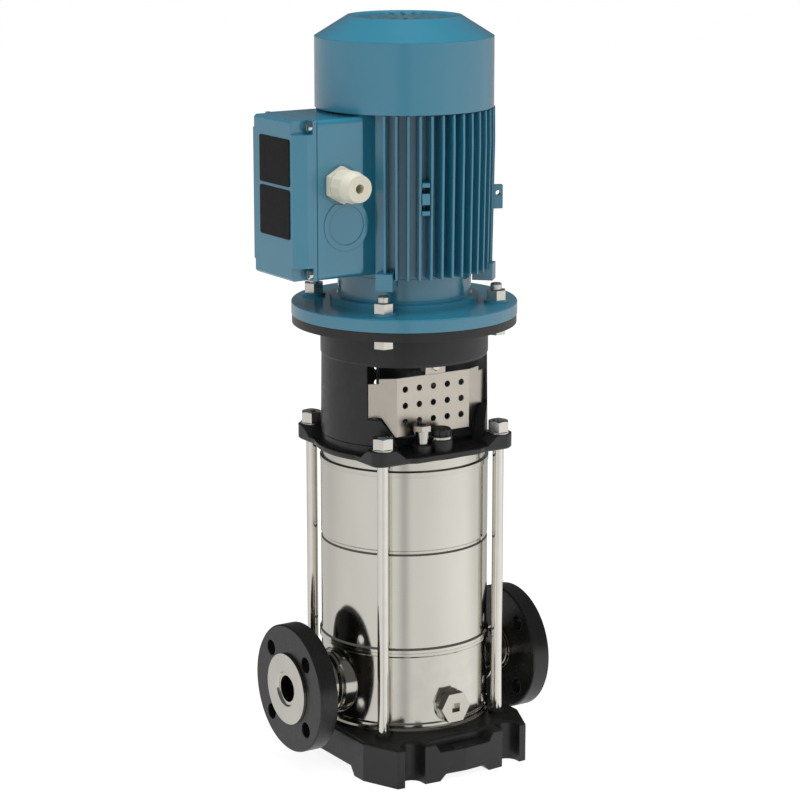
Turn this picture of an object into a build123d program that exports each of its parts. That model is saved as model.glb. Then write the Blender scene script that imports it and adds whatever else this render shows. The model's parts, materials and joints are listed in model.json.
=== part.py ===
"""Vertical in-line multistage pump with its flange-mounted electric motor.

Millimetres. +Z is up along the shaft, the floor is z = 0, the suction port points to -X,
the discharge port to +X, and the drain plug and the front coupling guard look to -Y.
"""

import os
from math import cos, radians, sin, sqrt

from build123d import *

os.makedirs("parts", exist_ok=True)

# ---------------------------------------------------------------- clearances
SEAT = 0.05  # radial clearance of round pieces that are assembled and stay put
RUNNING = 0.05  # radial clearance of a turning fit
BALL_PLAY = 0.1  # clearance of a bearing ball in its races
FREE = 0.3  # gap between neighbours that must not touch
AIR = 0.4  # gap round fast turning pieces

# ---------------------------------------------------------------- cast base
BASE_LENGTH = 166.0  # along the ports
BASE_WIDTH = 205.0  # across the ports
BASE_HEIGHT = 36.0
FOOT_CORNER_X = 68.0  # where the front edge ends
FOOT_CORNER_Y = 97.0
FOOT_SIDE_Y = 63.0  # where the side edge ends
BASE_EDGE = 2.5  # rounding of the deck's edges
BOLT_SPACING_X = 102.0  # foundation bolts
BOLT_SPACING_Y = 186.0
BOLT_SLOT_WIDTH = 20.0
ARCH_WIDTH_Y = 96.0  # tunnel under the base along the ports
ARCH_HEIGHT = 8.0
ARCH_WIDTH_X = 52.0  # tunnel across the ports
CROSS_ARCH_HEIGHT = 6.0
ARCH_SLOPE = 6.0
POCKET_LENGTH = 52.0  # pocket in the front and rear top edge, at its floor
POCKET_SLOPE = 5.0  # its ends lean outwards by this much
POCKET_DEPTH = 13.5
POCKET_DROP = 9.0
POCKET_PAD = 22.0  # cast pad on the floor of the pocket
CORE_X = 52.0  # cored hollows under the deck
CORE_Y = 48.0
CORE_GAP = 12.0
DECK_THICKNESS = 10.0

# ---------------------------------------------------------------- tie rods
ROD_RADIUS = 5.0
ROD_SPACING = 121.0
ROD_BOSS_RADIUS = 7.0
ROD_BOSS_HEIGHT = 4.0
ROD_GRIP = 22.0  # depth screwed into the base
ROD_NUT_FLATS = 17.0
ROD_NUT_HEIGHT = 10.0
ROD_TIP = 1.2
WASHER_THICKNESS = 1.3
ROD_WASHER_RADIUS = 10.0

# ---------------------------------------------------------------- casing, sleeve and cover
PORT_HEIGHT = 75.0
PORT_REACH = 125.0  # half of the face to face length
SLEEVE_RADIUS = 75.0
SHEET = 2.0  # sheet thickness of casing and sleeve
CASING_HEIGHT = 74.7
BEAD = 1.6  # height of the rolled beads
BEAD_LENGTH = 2.8
SECOND_BEAD = 5.2  # its start above the deck
GROOVE_HEIGHT = 202.3  # middle of the rolled groove in the sleeve
GROOVE_WIDTH = 5.0
GROOVE_DEPTH = 1.2
CASING_FLOOR = 3.0
COVER_FLANGE = 5.2
COVER_NECK = 8.3
COVER_NECK_RADIUS = 73.0
COVER_SPIGOT = 9.0
COVER_FOOT = 5.0
COVER_HUB_RADIUS = 29.7
SEAL_RING_SECTION = 0.93

# ---------------------------------------------------------------- ports and loose flanges
BORE_RADIUS = 12.0
PIPE_RADIUS = 16.8
PORT_CHAMFER_RADIUS = 16.0
PORT_CHAMFER_DEPTH = 1.8
RAISED_FACE_RADIUS = 32.0
RAISED_FACE = 2.7
FLANGE_RADIUS = 57.5
FLANGE_THICKNESS = 17.7
FLANGE_EDGE = 1.2
FLANGE_PCD = 85.0
FLANGE_HOLE_RADIUS = 7.0
FLANGE_HOLES = 4
COLLAR_RADIUS = 30.5  # foot of the pressed nozzle on the casing
NOZZLE_RADIUS = 27.0  # first step outside the jacket
NOZZLE_STEP = 5.0
SHOULDER_RADIUS = 22.5  # second step
SHOULDER_STEP = 6.0
STOP_RADIUS = 20.5  # ring that stops the loose flange
STOP_LENGTH = 3.0
NECK_RADIUS = 18.0

# ---------------------------------------------------------------- drain
DRAIN_HEIGHT = 59.5
DRAIN_BOSS_RADIUS = 15.4
DRAIN_BOSS_REACH = 77.0
DRAIN_FLATS = 26.0
DRAIN_HEAD = 7.5
DRAIN_THREAD_RADIUS = 7.0
DRAIN_WASHER_RADIUS = 13.8
DRAIN_WASHER = 1.4
DRAIN_SOCKET = 8.0

# ---------------------------------------------------------------- stages
STAGE_COUNT = 7
STAGE_PITCH = 23.0
STACK_START = 21.0  # first stage above the port axis
STAGE_RADIUS = 60.0
STAGE_WALL = 2.5
STAGE_FLOOR = 2.0
DIAPHRAGM_START = 15.0
DIAPHRAGM = 2.0
DIAPHRAGM_RADIUS = 51.0
DIFFUSER_VANES = 6
IMPELLER_RADIUS = 48.0
IMPELLER_VANES = 6
SHROUD = 1.5
EYE_RADIUS = 20.7
EYE_LIP = 3.0
IMPELLER_FRONT = 4.5  # front shroud above the stage floor
IMPELLER_BACK = 12.5
HUB_RADIUS = 11.5
HUB_START = 3.0
VANE = 1.8
SLEEVE_OUTER = 10.8  # distance sleeves on the shaft
CHAMBER_RADIUS = 46.0
CHAMBER_WALL = 2.0
CHAMBER_RIM = 3.0

# ---------------------------------------------------------------- pump shaft
SHAFT_RADIUS = 8.0
JOURNAL_RADIUS = 7.0
JOURNAL_TOP = 62.0
BUSH_RADIUS = 11.0
BUSH_LENGTH = 14.0
BUSH_HOLDER_RADIUS = 15.0
LOCK_NUT_FLATS = 19.0
LOCK_NUT_HEIGHT = 8.0

# ---------------------------------------------------------------- mechanical seal
SEAL_BORE = 17.0
SEAT_HEIGHT = 10.0
SEAT_BORE = 9.5
SEAL_FACE_RADIUS = 14.0
SEAL_FACE_HEIGHT = 5.0
BELLOWS_RADIUS = 13.5
BELLOWS_HEIGHT = 12.5
BELLOWS_FOLDS = 4
SEAL_PLATE_RADIUS = 33.0
SEAL_PLATE = 7.0
SEAL_TOWER_RADIUS = 24.0  # raised middle of the seal plate
SEAL_TOWER = 17.5

# ---------------------------------------------------------------- lantern
PLATE_LENGTH = 146.0  # along the ports
PLATE_WIDTH = 141.6
PLATE_THICKNESS = 5.2
PLATE_CORNER = 11.0
PLATE_BULGE = 80.8  # radius of the round part of the plate
PLATE_FRONT = 74.0  # where that round part is cut off at the front and the rear
PLATE_EDGE = 1.5
PAD_HEIGHT = 8.3
PAD_RADIUS = 12.5  # flat top of the pad round each tie rod
PAD_FLANK = 8.0  # the pad widens by this much towards the plate
LANTERN_HEIGHT = 119.5
LANTERN_RADIUS = 74.5
LANTERN_BORE = 67.0
LANTERN_FOOT_BORE = 62.0
LANTERN_FOOT = 34.5
LINTEL = 0.8  # step below the neck
NECK_START = 85.5  # height of that step above the plate's underside
WINDOW_HALF = 62.7
WINDOW_TOP = 83.5
SHOULDER_HEIGHT = 36.5
SHOULDER_FLAT = 55.5
WINDOW_FOOT_HALF = 43.0
PLATE_BORE = 30.0
LANTERN_FLANGE = 8.1
MOTOR_FLANGE_RADIUS = 100.0
SPIGOT_RADIUS = 65.0
SPIGOT = 3.4
MOTOR_PCD = 165.0
MOTOR_BOLT_RADIUS = 5.0
MOTOR_BOLT_FLATS = 16.0
MOTOR_BOLT_HEAD = 8.4
MOTOR_NUT = 9.0
MOTOR_BOLT_TIP = 6.0
SPOT_FACE_RADIUS = 10.5
SPOT_FACE_DEPTH = 9.4

# ---------------------------------------------------------------- guards
GUARD_SHEET = 1.2
GUARD_FACE = 47.0  # distance of the flat middle from the shaft
GUARD_HALF = 37.5
GUARD_WING_X = 61.0
GUARD_WING_Y = 36.0
GUARD_BOTTOM = 19.0
GUARD_TOP = 71.5
GUARD_WING_STEP = 4.3  # the ends of the wings are lower by this much
GUARD_SKIRT_HALF = 50.0  # where the rounded lower corners of the middle end
GUARD_HOLE_RADIUS = 2.8
GUARD_HOLE_PITCH = 14.6
GUARD_COLUMNS = 5
GUARD_ROWS = 3
TAB_HALF = 10.3
TAB_TOP = 83.0
TAB_OFFSET = 3.2
LUG_DEPTH = 8.0
GUARD_SCREW_RADIUS = 2.5
GUARD_SCREW_HEAD = 3.4

# ---------------------------------------------------------------- plugs on the head plate
VENT_X = 0.5
VENT_Y = 58.5
VENT_BOSS_RADIUS = 11.5
VENT_BOSS = 10.8
VENT_RING_RADIUS = 10.4
VENT_RING = 3.0
VENT_KNOB_RADIUS = 9.4
VENT_KNOB = 6.0
VENT_STEM_RADIUS = 4.0
VENT_STEM = 12.0
PRIME_X = 19.5
PRIME_FLATS = 15.0
PRIME_HEAD = 5.0
PRIME_CONE_RADIUS = 7.0
PRIME_FOOT_RADIUS = 5.6
PRIME_HEIGHT = 17.5
PRIME_COLLAR_RADIUS = 8.7
PRIME_BOSS = 7.5
PRIME_STEM_RADIUS = 5.0
PRIME_STEM = 8.0

# ---------------------------------------------------------------- coupling
COUPLING_RADIUS = 25.0
COUPLING_START = 37.5  # above the underside of the head plate
COUPLING_LENGTH = 68.0
COUPLING_SPLIT = 1.0
PUMP_SHAFT_GRIP = 39.0
SHAFT_GAP = 3.0
COUPLING_SCREW_X = 17.0
COUPLING_SCREW_RADIUS = 3.0
COUPLING_HEAD_RADIUS = 5.0
COUPLING_HEAD = 6.0
COUPLING_SCREW_REACH = 12.0

# ---------------------------------------------------------------- motor
MOTOR_FLANGE = 11.35
FOOT_RING_RADIUS = 66.0
FOOT_RING = 5.5
SHIELD_RADIUS = 59.0
FRAME_START = 31.6  # frame above the top of the motor flange
SHIELD_RIM_RADIUS = 62.0
BEARING_RADIUS = 23.5
BEARING_BORE = 10.0
BEARING_WIDTH = 14.0
BALL_RADIUS = 3.97
BALL_PITCH = 16.75
BALLS = 8
CAGE_WIDTH = 10.6
CAGE_THICKNESS = 2.4
RACE_WALL = 4.3
BEARING_HUB = 28.5
MOTOR_SHAFT_RADIUS = 9.5
ROTOR_SHAFT_RADIUS = 14.0
FRAME_BORE = 60.0
FRAME_ROOT = 64.0
FRAME_LENGTH = 139.0
FIN_TIP = 79.5
FIN_FOOT = 77.6
FIN_CROWN = 110.0  # height of the widest place above the frame's lower end
FIN_THICKNESS = 2.0
FIN_STEP = 7.5  # degrees
FIN_LAST = 135.0
FIN_DROP = 1.8  # the fins hang below the end of the frame
EAR_LENGTH = 11.0
EAR_WIDTH = 15.0
EAR_REACH = 80.5
CORE_START = 23.0
CORE_LENGTH = 90.0
STATOR_BORE = 36.0
SLOTS = 24
SLOT_WIDTH = 4.4
SLOT_DEPTH = 12.0
WINDING_OVERHANG = 15.0
END_RING = 6.0
COVER_RADIUS = 78.2
COVER_GAP = 0.5  # between the frame and the cover
COVER_SHEET = 1.5
COVER_SKIRT = 60.8
COVER_CONE = 17.6
COVER_TOP_RADIUS = 50.0
GRILLE_RADIUS = 46.0  # sunk middle of the top
GRILLE_DROP = 1.6
ARM_LIFT = 0.2  # arms of the end shield, above the cover's lower edge
ARM_HEIGHT = 5.0
FAN_RADIUS = 66.0
FAN_BLADES = 7
FAN_HEIGHT = 24.0
FAN_SHAFT_RADIUS = 8.0
FAN_START = 13.0  # fan above the cover's lower edge

# ---------------------------------------------------------------- terminal box
BOX_SEAT = 67.0  # distance of its floor from the shaft
BOX_HALF = 40.0
BOX_HEIGHT = 136.5
BOX_START = 1.0  # above the frame's lower end
BOX_DEPTH = 45.0
BOX_WALL = 3.0
BOX_CORNER = 4.0
GASKET = 0.6
LID_DEPTH = 20.0
LID_EDGE = 2.0
LID_SLOPE = 11.0  # depth of the slanted sides
LID_FACE_HALF = 35.0
LID_EAR = 3.8
NOTCH_Y = 9.0
NOTCH_Z = 11.5
LID_SCREW_RADIUS = 2.0
LID_SCREW_HEAD = 4.3
LID_SCREW_HEAD_HEIGHT = 3.2
POST_RADIUS = 4.5
RATING_WIDTH = 50.0  # bare plates on the lid
RATING_HEIGHTS = (40.0, 42.0)
RATING_ABOVE = (100.5, 56.6)  # middle of each plate above the lower side of the box
RATING_SIDE = -4.0
RATING_SHEET = 0.8
GLAND_X = 89.0
GLAND_ABOVE = 80.7  # gland axis above the lower side of the box
GLAND_RECESS_RADIUS = 17.0
GLAND_RECESS = 0.8
GLAND_THREAD_RADIUS = 9.9
GLAND_FLATS = 28.0
GLAND_HEX = 6.0
GLAND_NECK_RADIUS = 9.0
GLAND_NECK = 11.0
GLAND_BORE = 4.0
GLAND_NUT_RADIUS = 14.2
GLAND_NUT_END = 11.6
GLAND_LENGTH = 31.5
KNOCKOUT_X = 84.0
KNOCKOUT_ABOVE = 45.6
KNOCKOUT_RADIUS = 22.0
KNOCKOUT_RIM = 5.0
BOARD_HALF = 20.0
BOARD_HEIGHT = 56.0
BOARD_THICKNESS = 6.0
STUD_RADIUS = 2.5
STUD_LENGTH = 14.0

# ---------------------------------------------------------------- levels, from the floor up
deck = BASE_HEIGHT
rod_boss_top = deck + ROD_BOSS_HEIGHT
casing_floor = deck + CASING_FLOOR
casing_top = deck + CASING_HEIGHT
stack_bottom = PORT_HEIGHT + STACK_START
stack_top = stack_bottom + STAGE_COUNT * STAGE_PITCH
cover_under = stack_top + COVER_SPIGOT
sleeve_top = cover_under + COVER_FOOT
plate_bottom = sleeve_top + COVER_FLANGE + COVER_NECK
plate_top = plate_bottom + PLATE_THICKNESS
pad_top = plate_top + PAD_HEIGHT
flange_level = plate_bottom + LANTERN_HEIGHT
motor_flange_top = flange_level + MOTOR_FLANGE
frame_bottom = motor_flange_top + FRAME_START
frame_top = frame_bottom + FRAME_LENGTH
cover_bottom = frame_top + COVER_GAP
cover_top = cover_bottom + COVER_SKIRT + COVER_CONE
bearing_low = frame_bottom - 21.0
bearing_high = frame_top - 15.0
core_bottom = frame_bottom + CORE_START
core_top = core_bottom + CORE_LENGTH
coupling_bottom = plate_bottom + COUPLING_START
coupling_top = coupling_bottom + COUPLING_LENGTH
pump_shaft_top = coupling_bottom + PUMP_SHAFT_GRIP
motor_shaft_bottom = pump_shaft_top + SHAFT_GAP
rod_half = ROD_SPACING / 2
inner_radius = SLEEVE_RADIUS - SHEET
HEX_CORNER = 2 / sqrt(3)  # width over corners of a hexagon with flats 1 apart


def on_circle(radius, degrees):
    """Point at an angle on a circle round the origin."""
    return (radius * cos(radians(degrees)), radius * sin(radians(degrees)))


# ================================================================ cast base
with BuildPart() as base:
    with BuildSketch():
        with BuildLine():
            front = (0, -BASE_WIDTH / 2)
            corner = (FOOT_CORNER_X, -FOOT_CORNER_Y)
            flank = (BASE_LENGTH / 2, -FOOT_SIDE_Y)
            Polyline(front, corner, flank, (BASE_LENGTH / 2, 0))
            mirror(about=Plane.XZ)
            mirror(about=Plane.YZ)
        make_face()
    extrude(amount=deck)
    # open slots for the foundation bolts
    slot_run = BASE_WIDTH / 2
    for side in (-1, 1):
        with BuildSketch():
            with Locations((0, side * BOLT_SPACING_Y / 2)):
                with GridLocations(BOLT_SPACING_X, 1, 2, 1):
                    Circle(BOLT_SLOT_WIDTH / 2)
            with Locations((0, side * (BOLT_SPACING_Y + slot_run) / 2)):
                with GridLocations(BOLT_SPACING_X, 1, 2, 1):
                    Rectangle(BOLT_SLOT_WIDTH, slot_run)
        extrude(amount=deck, mode=Mode.SUBTRACT)
    # pocket in the front and rear top edge, with a low pad on its floor
    pocket_y = BASE_WIDTH / 2 - POCKET_DEPTH
    for side in (-1, 1):
        with BuildSketch(Plane.XZ.offset(side * pocket_y)):
            with BuildLine():
                half = POCKET_LENGTH / 2
                Polyline(
                    (-half, deck - POCKET_DROP),
                    (half, deck - POCKET_DROP),
                    (half + POCKET_SLOPE, deck),
                    (-half - POCKET_SLOPE, deck),
                    close=True,
                )
            make_face()
        extrude(amount=side * POCKET_DEPTH, mode=Mode.SUBTRACT)
    fillet(base.faces().sort_by(Axis.Z)[-1].edges(), BASE_EDGE)
    with Locations((0, 0, deck - POCKET_DROP)):
        with GridLocations(1, BASE_WIDTH - POCKET_DEPTH, 1, 2):
            Box(POCKET_PAD, POCKET_DEPTH - 5, 2.4)
    # bosses round the tie rods
    with Locations((0, 0, deck)):
        with GridLocations(ROD_SPACING, ROD_SPACING, 2, 2):
            Cylinder(ROD_BOSS_RADIUS, ROD_BOSS_HEIGHT, align=(Align.CENTER, Align.CENTER, Align.MIN))
    # tunnels between the feet
    with BuildSketch(Plane.YZ):
        with BuildLine():
            half = ARCH_WIDTH_Y / 2
            Polyline(
                (-half, 0),
                (half, 0),
                (half - ARCH_SLOPE, ARCH_HEIGHT),
                (ARCH_SLOPE - half, ARCH_HEIGHT),
                close=True,
            )
        make_face()
    extrude(amount=BASE_LENGTH, both=True, mode=Mode.SUBTRACT)
    with BuildSketch(Plane.XZ):
        with BuildLine():
            half = ARCH_WIDTH_X / 2
            Polyline(
                (-half, 0),
                (half, 0),
                (half - ARCH_SLOPE, CROSS_ARCH_HEIGHT),
                (ARCH_SLOPE - half, CROSS_ARCH_HEIGHT),
                close=True,
            )
        make_face()
    extrude(amount=BASE_WIDTH, both=True, mode=Mode.SUBTRACT)
    # cored hollows under the deck, with a cross of ribs between them
    with BuildSketch():
        with GridLocations(CORE_X + CORE_GAP, CORE_Y + CORE_GAP, 2, 2):
            RectangleRounded(CORE_X, CORE_Y, CORE_GAP / 2)
    extrude(amount=deck - DECK_THICKNESS, mode=Mode.SUBTRACT)
    # threaded holes of the tie rods
    with Locations((0, 0, rod_boss_top)):
        with GridLocations(ROD_SPACING, ROD_SPACING, 2, 2):
            Hole(ROD_RADIUS + SEAT, ROD_GRIP)
base.part.label = "base"
export_step(base.part, "parts/base.step")

# ================================================================ pump casing with its nozzles
groove_radius = SLEEVE_RADIUS - SHEET + 1.8
with BuildPart() as pump_casing:
    with BuildSketch(Plane.XZ):
        with BuildLine():
            Polyline(
                (0, deck),
                (SLEEVE_RADIUS + BEAD, deck),
                (SLEEVE_RADIUS + BEAD, deck + BEAD_LENGTH),
                (SLEEVE_RADIUS, deck + BEAD_LENGTH + BEAD),
                (SLEEVE_RADIUS, deck + SECOND_BEAD),
                (SLEEVE_RADIUS + BEAD / 2, deck + SECOND_BEAD + BEAD / 2),
                (SLEEVE_RADIUS + BEAD / 2, deck + SECOND_BEAD + BEAD_LENGTH),
                (SLEEVE_RADIUS, deck + SECOND_BEAD + BEAD_LENGTH + BEAD),
                (SLEEVE_RADIUS, casing_top - BEAD_LENGTH - BEAD),
                (SLEEVE_RADIUS + BEAD, casing_top - BEAD_LENGTH),
                (SLEEVE_RADIUS + BEAD, casing_top),
                (0, casing_top),
                close=True,
            )
        make_face()
    revolve(axis=Axis.Z)
    # nozzle outline, turned about the port axis: (distance from the port axis, distance from the shaft)
    stop_end = PORT_REACH - RAISED_FACE - FREE - FLANGE_THICKNESS - FREE
    stop_start = stop_end - STOP_LENGTH
    first_step = SLEEVE_RADIUS + BEAD + 2
    second_step = first_step + NOZZLE_STEP
    with BuildSketch(Plane.XY):
        with BuildLine():
            nozzle = Polyline(
                (0, 0),
                (0, COLLAR_RADIUS),
                (inner_radius - 3, COLLAR_RADIUS),
                (first_step, NOZZLE_RADIUS + 1),
                (second_step - 1, NOZZLE_RADIUS + 1),
                (second_step, NOZZLE_RADIUS),
                (second_step, SHOULDER_RADIUS + 1),
                (second_step + SHOULDER_STEP - 1, SHOULDER_RADIUS),
                (second_step + SHOULDER_STEP, SHOULDER_RADIUS - 1),
                (second_step + SHOULDER_STEP, NECK_RADIUS),
                (stop_start, NECK_RADIUS),
                (stop_start + 1, STOP_RADIUS),
                (stop_end, STOP_RADIUS),
                (stop_end, PIPE_RADIUS),
                (PORT_REACH - RAISED_FACE, PIPE_RADIUS),
                (PORT_REACH - RAISED_FACE, RAISED_FACE_RADIUS),
                (PORT_REACH, RAISED_FACE_RADIUS),
                (PORT_REACH, 0),
                close=True,
            )
        make_face()
    nozzle_solid = revolve(axis=Axis.X, mode=Mode.PRIVATE)
    with Locations((0, 0, PORT_HEIGHT)):
        add(nozzle_solid)
        add(mirror(nozzle_solid, about=Plane.YZ, mode=Mode.PRIVATE))
    # drain boss
    with Locations(Location((0, -DRAIN_BOSS_REACH, DRAIN_HEIGHT), (-90, 0, 0))):
        Cylinder(
            DRAIN_BOSS_RADIUS,
            DRAIN_BOSS_REACH - inner_radius / 2,
            align=(Align.CENTER, Align.CENTER, Align.MIN),
        )
    # room inside
    with Locations((0, 0, casing_floor)):
        Cylinder(
            inner_radius,
            casing_top - casing_floor,
            align=(Align.CENTER, Align.CENTER, Align.MIN),
            mode=Mode.SUBTRACT,
        )
    # bores of the two ports, with their wide mouths
    for side in (-1, 1):
        with BuildSketch(Plane.XZ):
            with BuildLine():
                mouth = side * PORT_REACH
                throat = side * (PORT_REACH - PORT_CHAMFER_DEPTH)
                Polyline(
                    (side * inner_radius / 2, PORT_HEIGHT),
                    (side * inner_radius / 2, PORT_HEIGHT + BORE_RADIUS),
                    (throat, PORT_HEIGHT + BORE_RADIUS),
                    (throat, PORT_HEIGHT + PORT_CHAMFER_RADIUS - 1.2),
                    (mouth, PORT_HEIGHT + PORT_CHAMFER_RADIUS),
                    (mouth, PORT_HEIGHT),
                    close=True,
                )
            make_face()
        revolve(axis=Axis((0, 0, PORT_HEIGHT), (1, 0, 0)), mode=Mode.SUBTRACT)
    # drain hole
    with Locations(Location((0, -DRAIN_BOSS_REACH, DRAIN_HEIGHT), (-90, 0, 0))):
        Cylinder(
            DRAIN_THREAD_RADIUS + SEAT,
            DRAIN_BOSS_REACH / 2,
            align=(Align.CENTER, Align.CENTER, Align.MIN),
            mode=Mode.SUBTRACT,
        )
    # groove for the joint ring to the sleeve
    with BuildSketch(Plane.XZ):
        with Locations((groove_radius, casing_top - SEAL_RING_SECTION)):
            Rectangle(2 * SEAL_RING_SECTION + 2 * SEAT, 2 * SEAL_RING_SECTION)
    revolve(axis=Axis.Z, mode=Mode.SUBTRACT)
pump_casing.part.label = "pump_casing"
export_step(pump_casing.part, "parts/pump_casing.step")

# ================================================================ loose flanges on the nozzles
flange_face = PORT_REACH - RAISED_FACE - FREE
flange_mid = flange_face - FLANGE_THICKNESS / 2
with BuildPart() as suction_flange:
    with BuildSketch(Plane.YZ.offset(-flange_mid)):
        with Locations((0, PORT_HEIGHT)):
            Circle(FLANGE_RADIUS)
            Circle(PIPE_RADIUS + FREE, mode=Mode.SUBTRACT)
            with PolarLocations(FLANGE_PCD / 2, FLANGE_HOLES, start_angle=45):
                Circle(FLANGE_HOLE_RADIUS, mode=Mode.SUBTRACT)
    extrude(amount=FLANGE_THICKNESS / 2, both=True)
    rims = suction_flange.edges().filter_by(GeomType.CIRCLE).group_by(SortBy.RADIUS)[-1]
    chamfer(rims, FLANGE_EDGE)
suction_flange.part.label = "suction_flange"
export_step(suction_flange.part, "parts/suction_flange.step")

with BuildPart() as discharge_flange:
    add(suction_flange.part)
    mirror(about=Plane.YZ, mode=Mode.REPLACE)
discharge_flange.part.label = "discharge_flange"
export_step(discharge_flange.part, "parts/discharge_flange.step")

# ================================================================ outer sleeve
with BuildPart() as outer_sleeve:
    with BuildSketch(Plane.XZ):
        with BuildLine():
            Polyline(
                (inner_radius, casing_top),
                (SLEEVE_RADIUS + BEAD, casing_top),
                (SLEEVE_RADIUS + BEAD, casing_top + BEAD_LENGTH),
                (SLEEVE_RADIUS, casing_top + BEAD_LENGTH + BEAD),
                (SLEEVE_RADIUS, GROOVE_HEIGHT - GROOVE_WIDTH / 2),
                (SLEEVE_RADIUS - GROOVE_DEPTH, GROOVE_HEIGHT - GROOVE_WIDTH / 5),
                (SLEEVE_RADIUS - GROOVE_DEPTH, GROOVE_HEIGHT + GROOVE_WIDTH / 5),
                (SLEEVE_RADIUS, GROOVE_HEIGHT + GROOVE_WIDTH / 2),
                (SLEEVE_RADIUS, sleeve_top),
                (inner_radius, sleeve_top),
                close=True,
            )
        make_face()
    revolve(axis=Axis.Z)
outer_sleeve.part.label = "outer_sleeve"
export_step(outer_sleeve.part, "parts/outer_sleeve.step")

# ================================================================ seal cover on top of the sleeve
with BuildPart() as seal_cover:
    with BuildSketch(Plane.XZ):
        with BuildLine():
            foot_inner = STAGE_RADIUS - 2 * STAGE_WALL
            flange_top = sleeve_top + COVER_FLANGE
            Polyline(
                (SEAL_BORE, cover_under),
                (foot_inner, cover_under),
                (foot_inner, stack_top),
                (STAGE_RADIUS, stack_top),
                (STAGE_RADIUS, cover_under - COVER_FOOT),
                (inner_radius - FREE, cover_under - COVER_FOOT + 1),
                (inner_radius - FREE, sleeve_top),
                (SLEEVE_RADIUS + 0.6, sleeve_top),
                (SLEEVE_RADIUS + 0.6, flange_top - 1),
                (COVER_NECK_RADIUS, flange_top),
                (COVER_NECK_RADIUS, plate_bottom),
                (COVER_HUB_RADIUS, plate_bottom),
                (COVER_HUB_RADIUS, plate_top),
                (SEAL_BORE, plate_top),
                close=True,
            )
        make_face()
    revolve(axis=Axis.Z)
    # outlets from the last stage to the space inside the sleeve
    with Locations((0, 0, (stack_top + cover_under - COVER_FOOT) / 2)):
        with PolarLocations(STAGE_RADIUS - STAGE_WALL, DIFFUSER_VANES):
            Box(4 * STAGE_WALL, 22, cover_under - COVER_FOOT - stack_top - 1, mode=Mode.SUBTRACT)
    # groove for the sleeve's ring
    ring_level = (cover_under - COVER_FOOT + 1 + sleeve_top) / 2
    with BuildSketch(Plane.XZ):
        with Locations((inner_radius - FREE - SEAL_RING_SECTION, ring_level)):
            Rectangle(2 * SEAL_RING_SECTION + 2 * SEAT, 2 * SEAL_RING_SECTION + 2 * SEAT)
    revolve(axis=Axis.Z, mode=Mode.SUBTRACT)
seal_cover.part.label = "seal_cover"
export_step(seal_cover.part, "parts/seal_cover.step")

with BuildPart() as casing_seals:
    with BuildSketch(Plane.XZ):
        with Locations(
            (groove_radius, casing_top - SEAL_RING_SECTION),
            (inner_radius - FREE - SEAL_RING_SECTION, ring_level),
        ):
            Circle(SEAL_RING_SECTION)
    revolve(axis=Axis.Z)
casing_seals.part.label = "casing_seals"
export_step(casing_seals.part, "parts/casing_seals.step")

# ================================================================ inlet chamber and lower bearing
with BuildPart() as inlet_chamber:
    with BuildSketch(Plane.XZ):
        with BuildLine():
            Polyline(
                (0, casing_floor),
                (CHAMBER_RADIUS, casing_floor),
                (CHAMBER_RADIUS, stack_bottom - CHAMBER_RIM),
                (STAGE_RADIUS, stack_bottom - CHAMBER_RIM),
                (STAGE_RADIUS, stack_bottom),
                (CHAMBER_RADIUS - CHAMBER_WALL, stack_bottom),
                (CHAMBER_RADIUS - CHAMBER_WALL, casing_floor + CHAMBER_WALL),
                (BUSH_HOLDER_RADIUS, casing_floor + CHAMBER_WALL),
                (BUSH_HOLDER_RADIUS, casing_floor + CHAMBER_WALL + BUSH_LENGTH),
                (0, casing_floor + CHAMBER_WALL + BUSH_LENGTH),
                close=True,
            )
        make_face()
    revolve(axis=Axis.Z)
    # pipe from the suction port
    with Locations(Location((-SLEEVE_RADIUS, 0, PORT_HEIGHT), (0, 90, 0))):
        Cylinder(
            BORE_RADIUS + 1 + CHAMBER_WALL,
            SLEEVE_RADIUS - CHAMBER_RADIUS + CHAMBER_WALL,
            align=(Align.CENTER, Align.CENTER, Align.MIN),
        )
        Cylinder(
            BORE_RADIUS + 1,
            SLEEVE_RADIUS - BUSH_HOLDER_RADIUS - CHAMBER_WALL,
            align=(Align.CENTER, Align.CENTER, Align.MIN),
            mode=Mode.SUBTRACT,
        )
    with Locations((0, 0, casing_floor)):
        Cylinder(
            inner_radius - FREE,
            stack_top,
            align=(Align.CENTER, Align.CENTER, Align.MIN),
            mode=Mode.INTERSECT,
        )
    with Locations((0, 0, casing_floor + CHAMBER_WALL + BUSH_LENGTH)):
        Hole(BUSH_RADIUS + SEAT, BUSH_LENGTH)
inlet_chamber.part.label = "inlet_chamber"
export_step(inlet_chamber.part, "parts/inlet_chamber.step")

bush_bottom = casing_floor + CHAMBER_WALL
with BuildPart() as lower_bearing:
    with BuildSketch(Plane.XY.offset(bush_bottom)):
        Circle(BUSH_RADIUS)
        Circle(JOURNAL_RADIUS + RUNNING, mode=Mode.SUBTRACT)
    extrude(amount=BUSH_LENGTH)
lower_bearing.part.label = "lower_bearing"
export_step(lower_bearing.part, "parts/lower_bearing.step")

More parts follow.
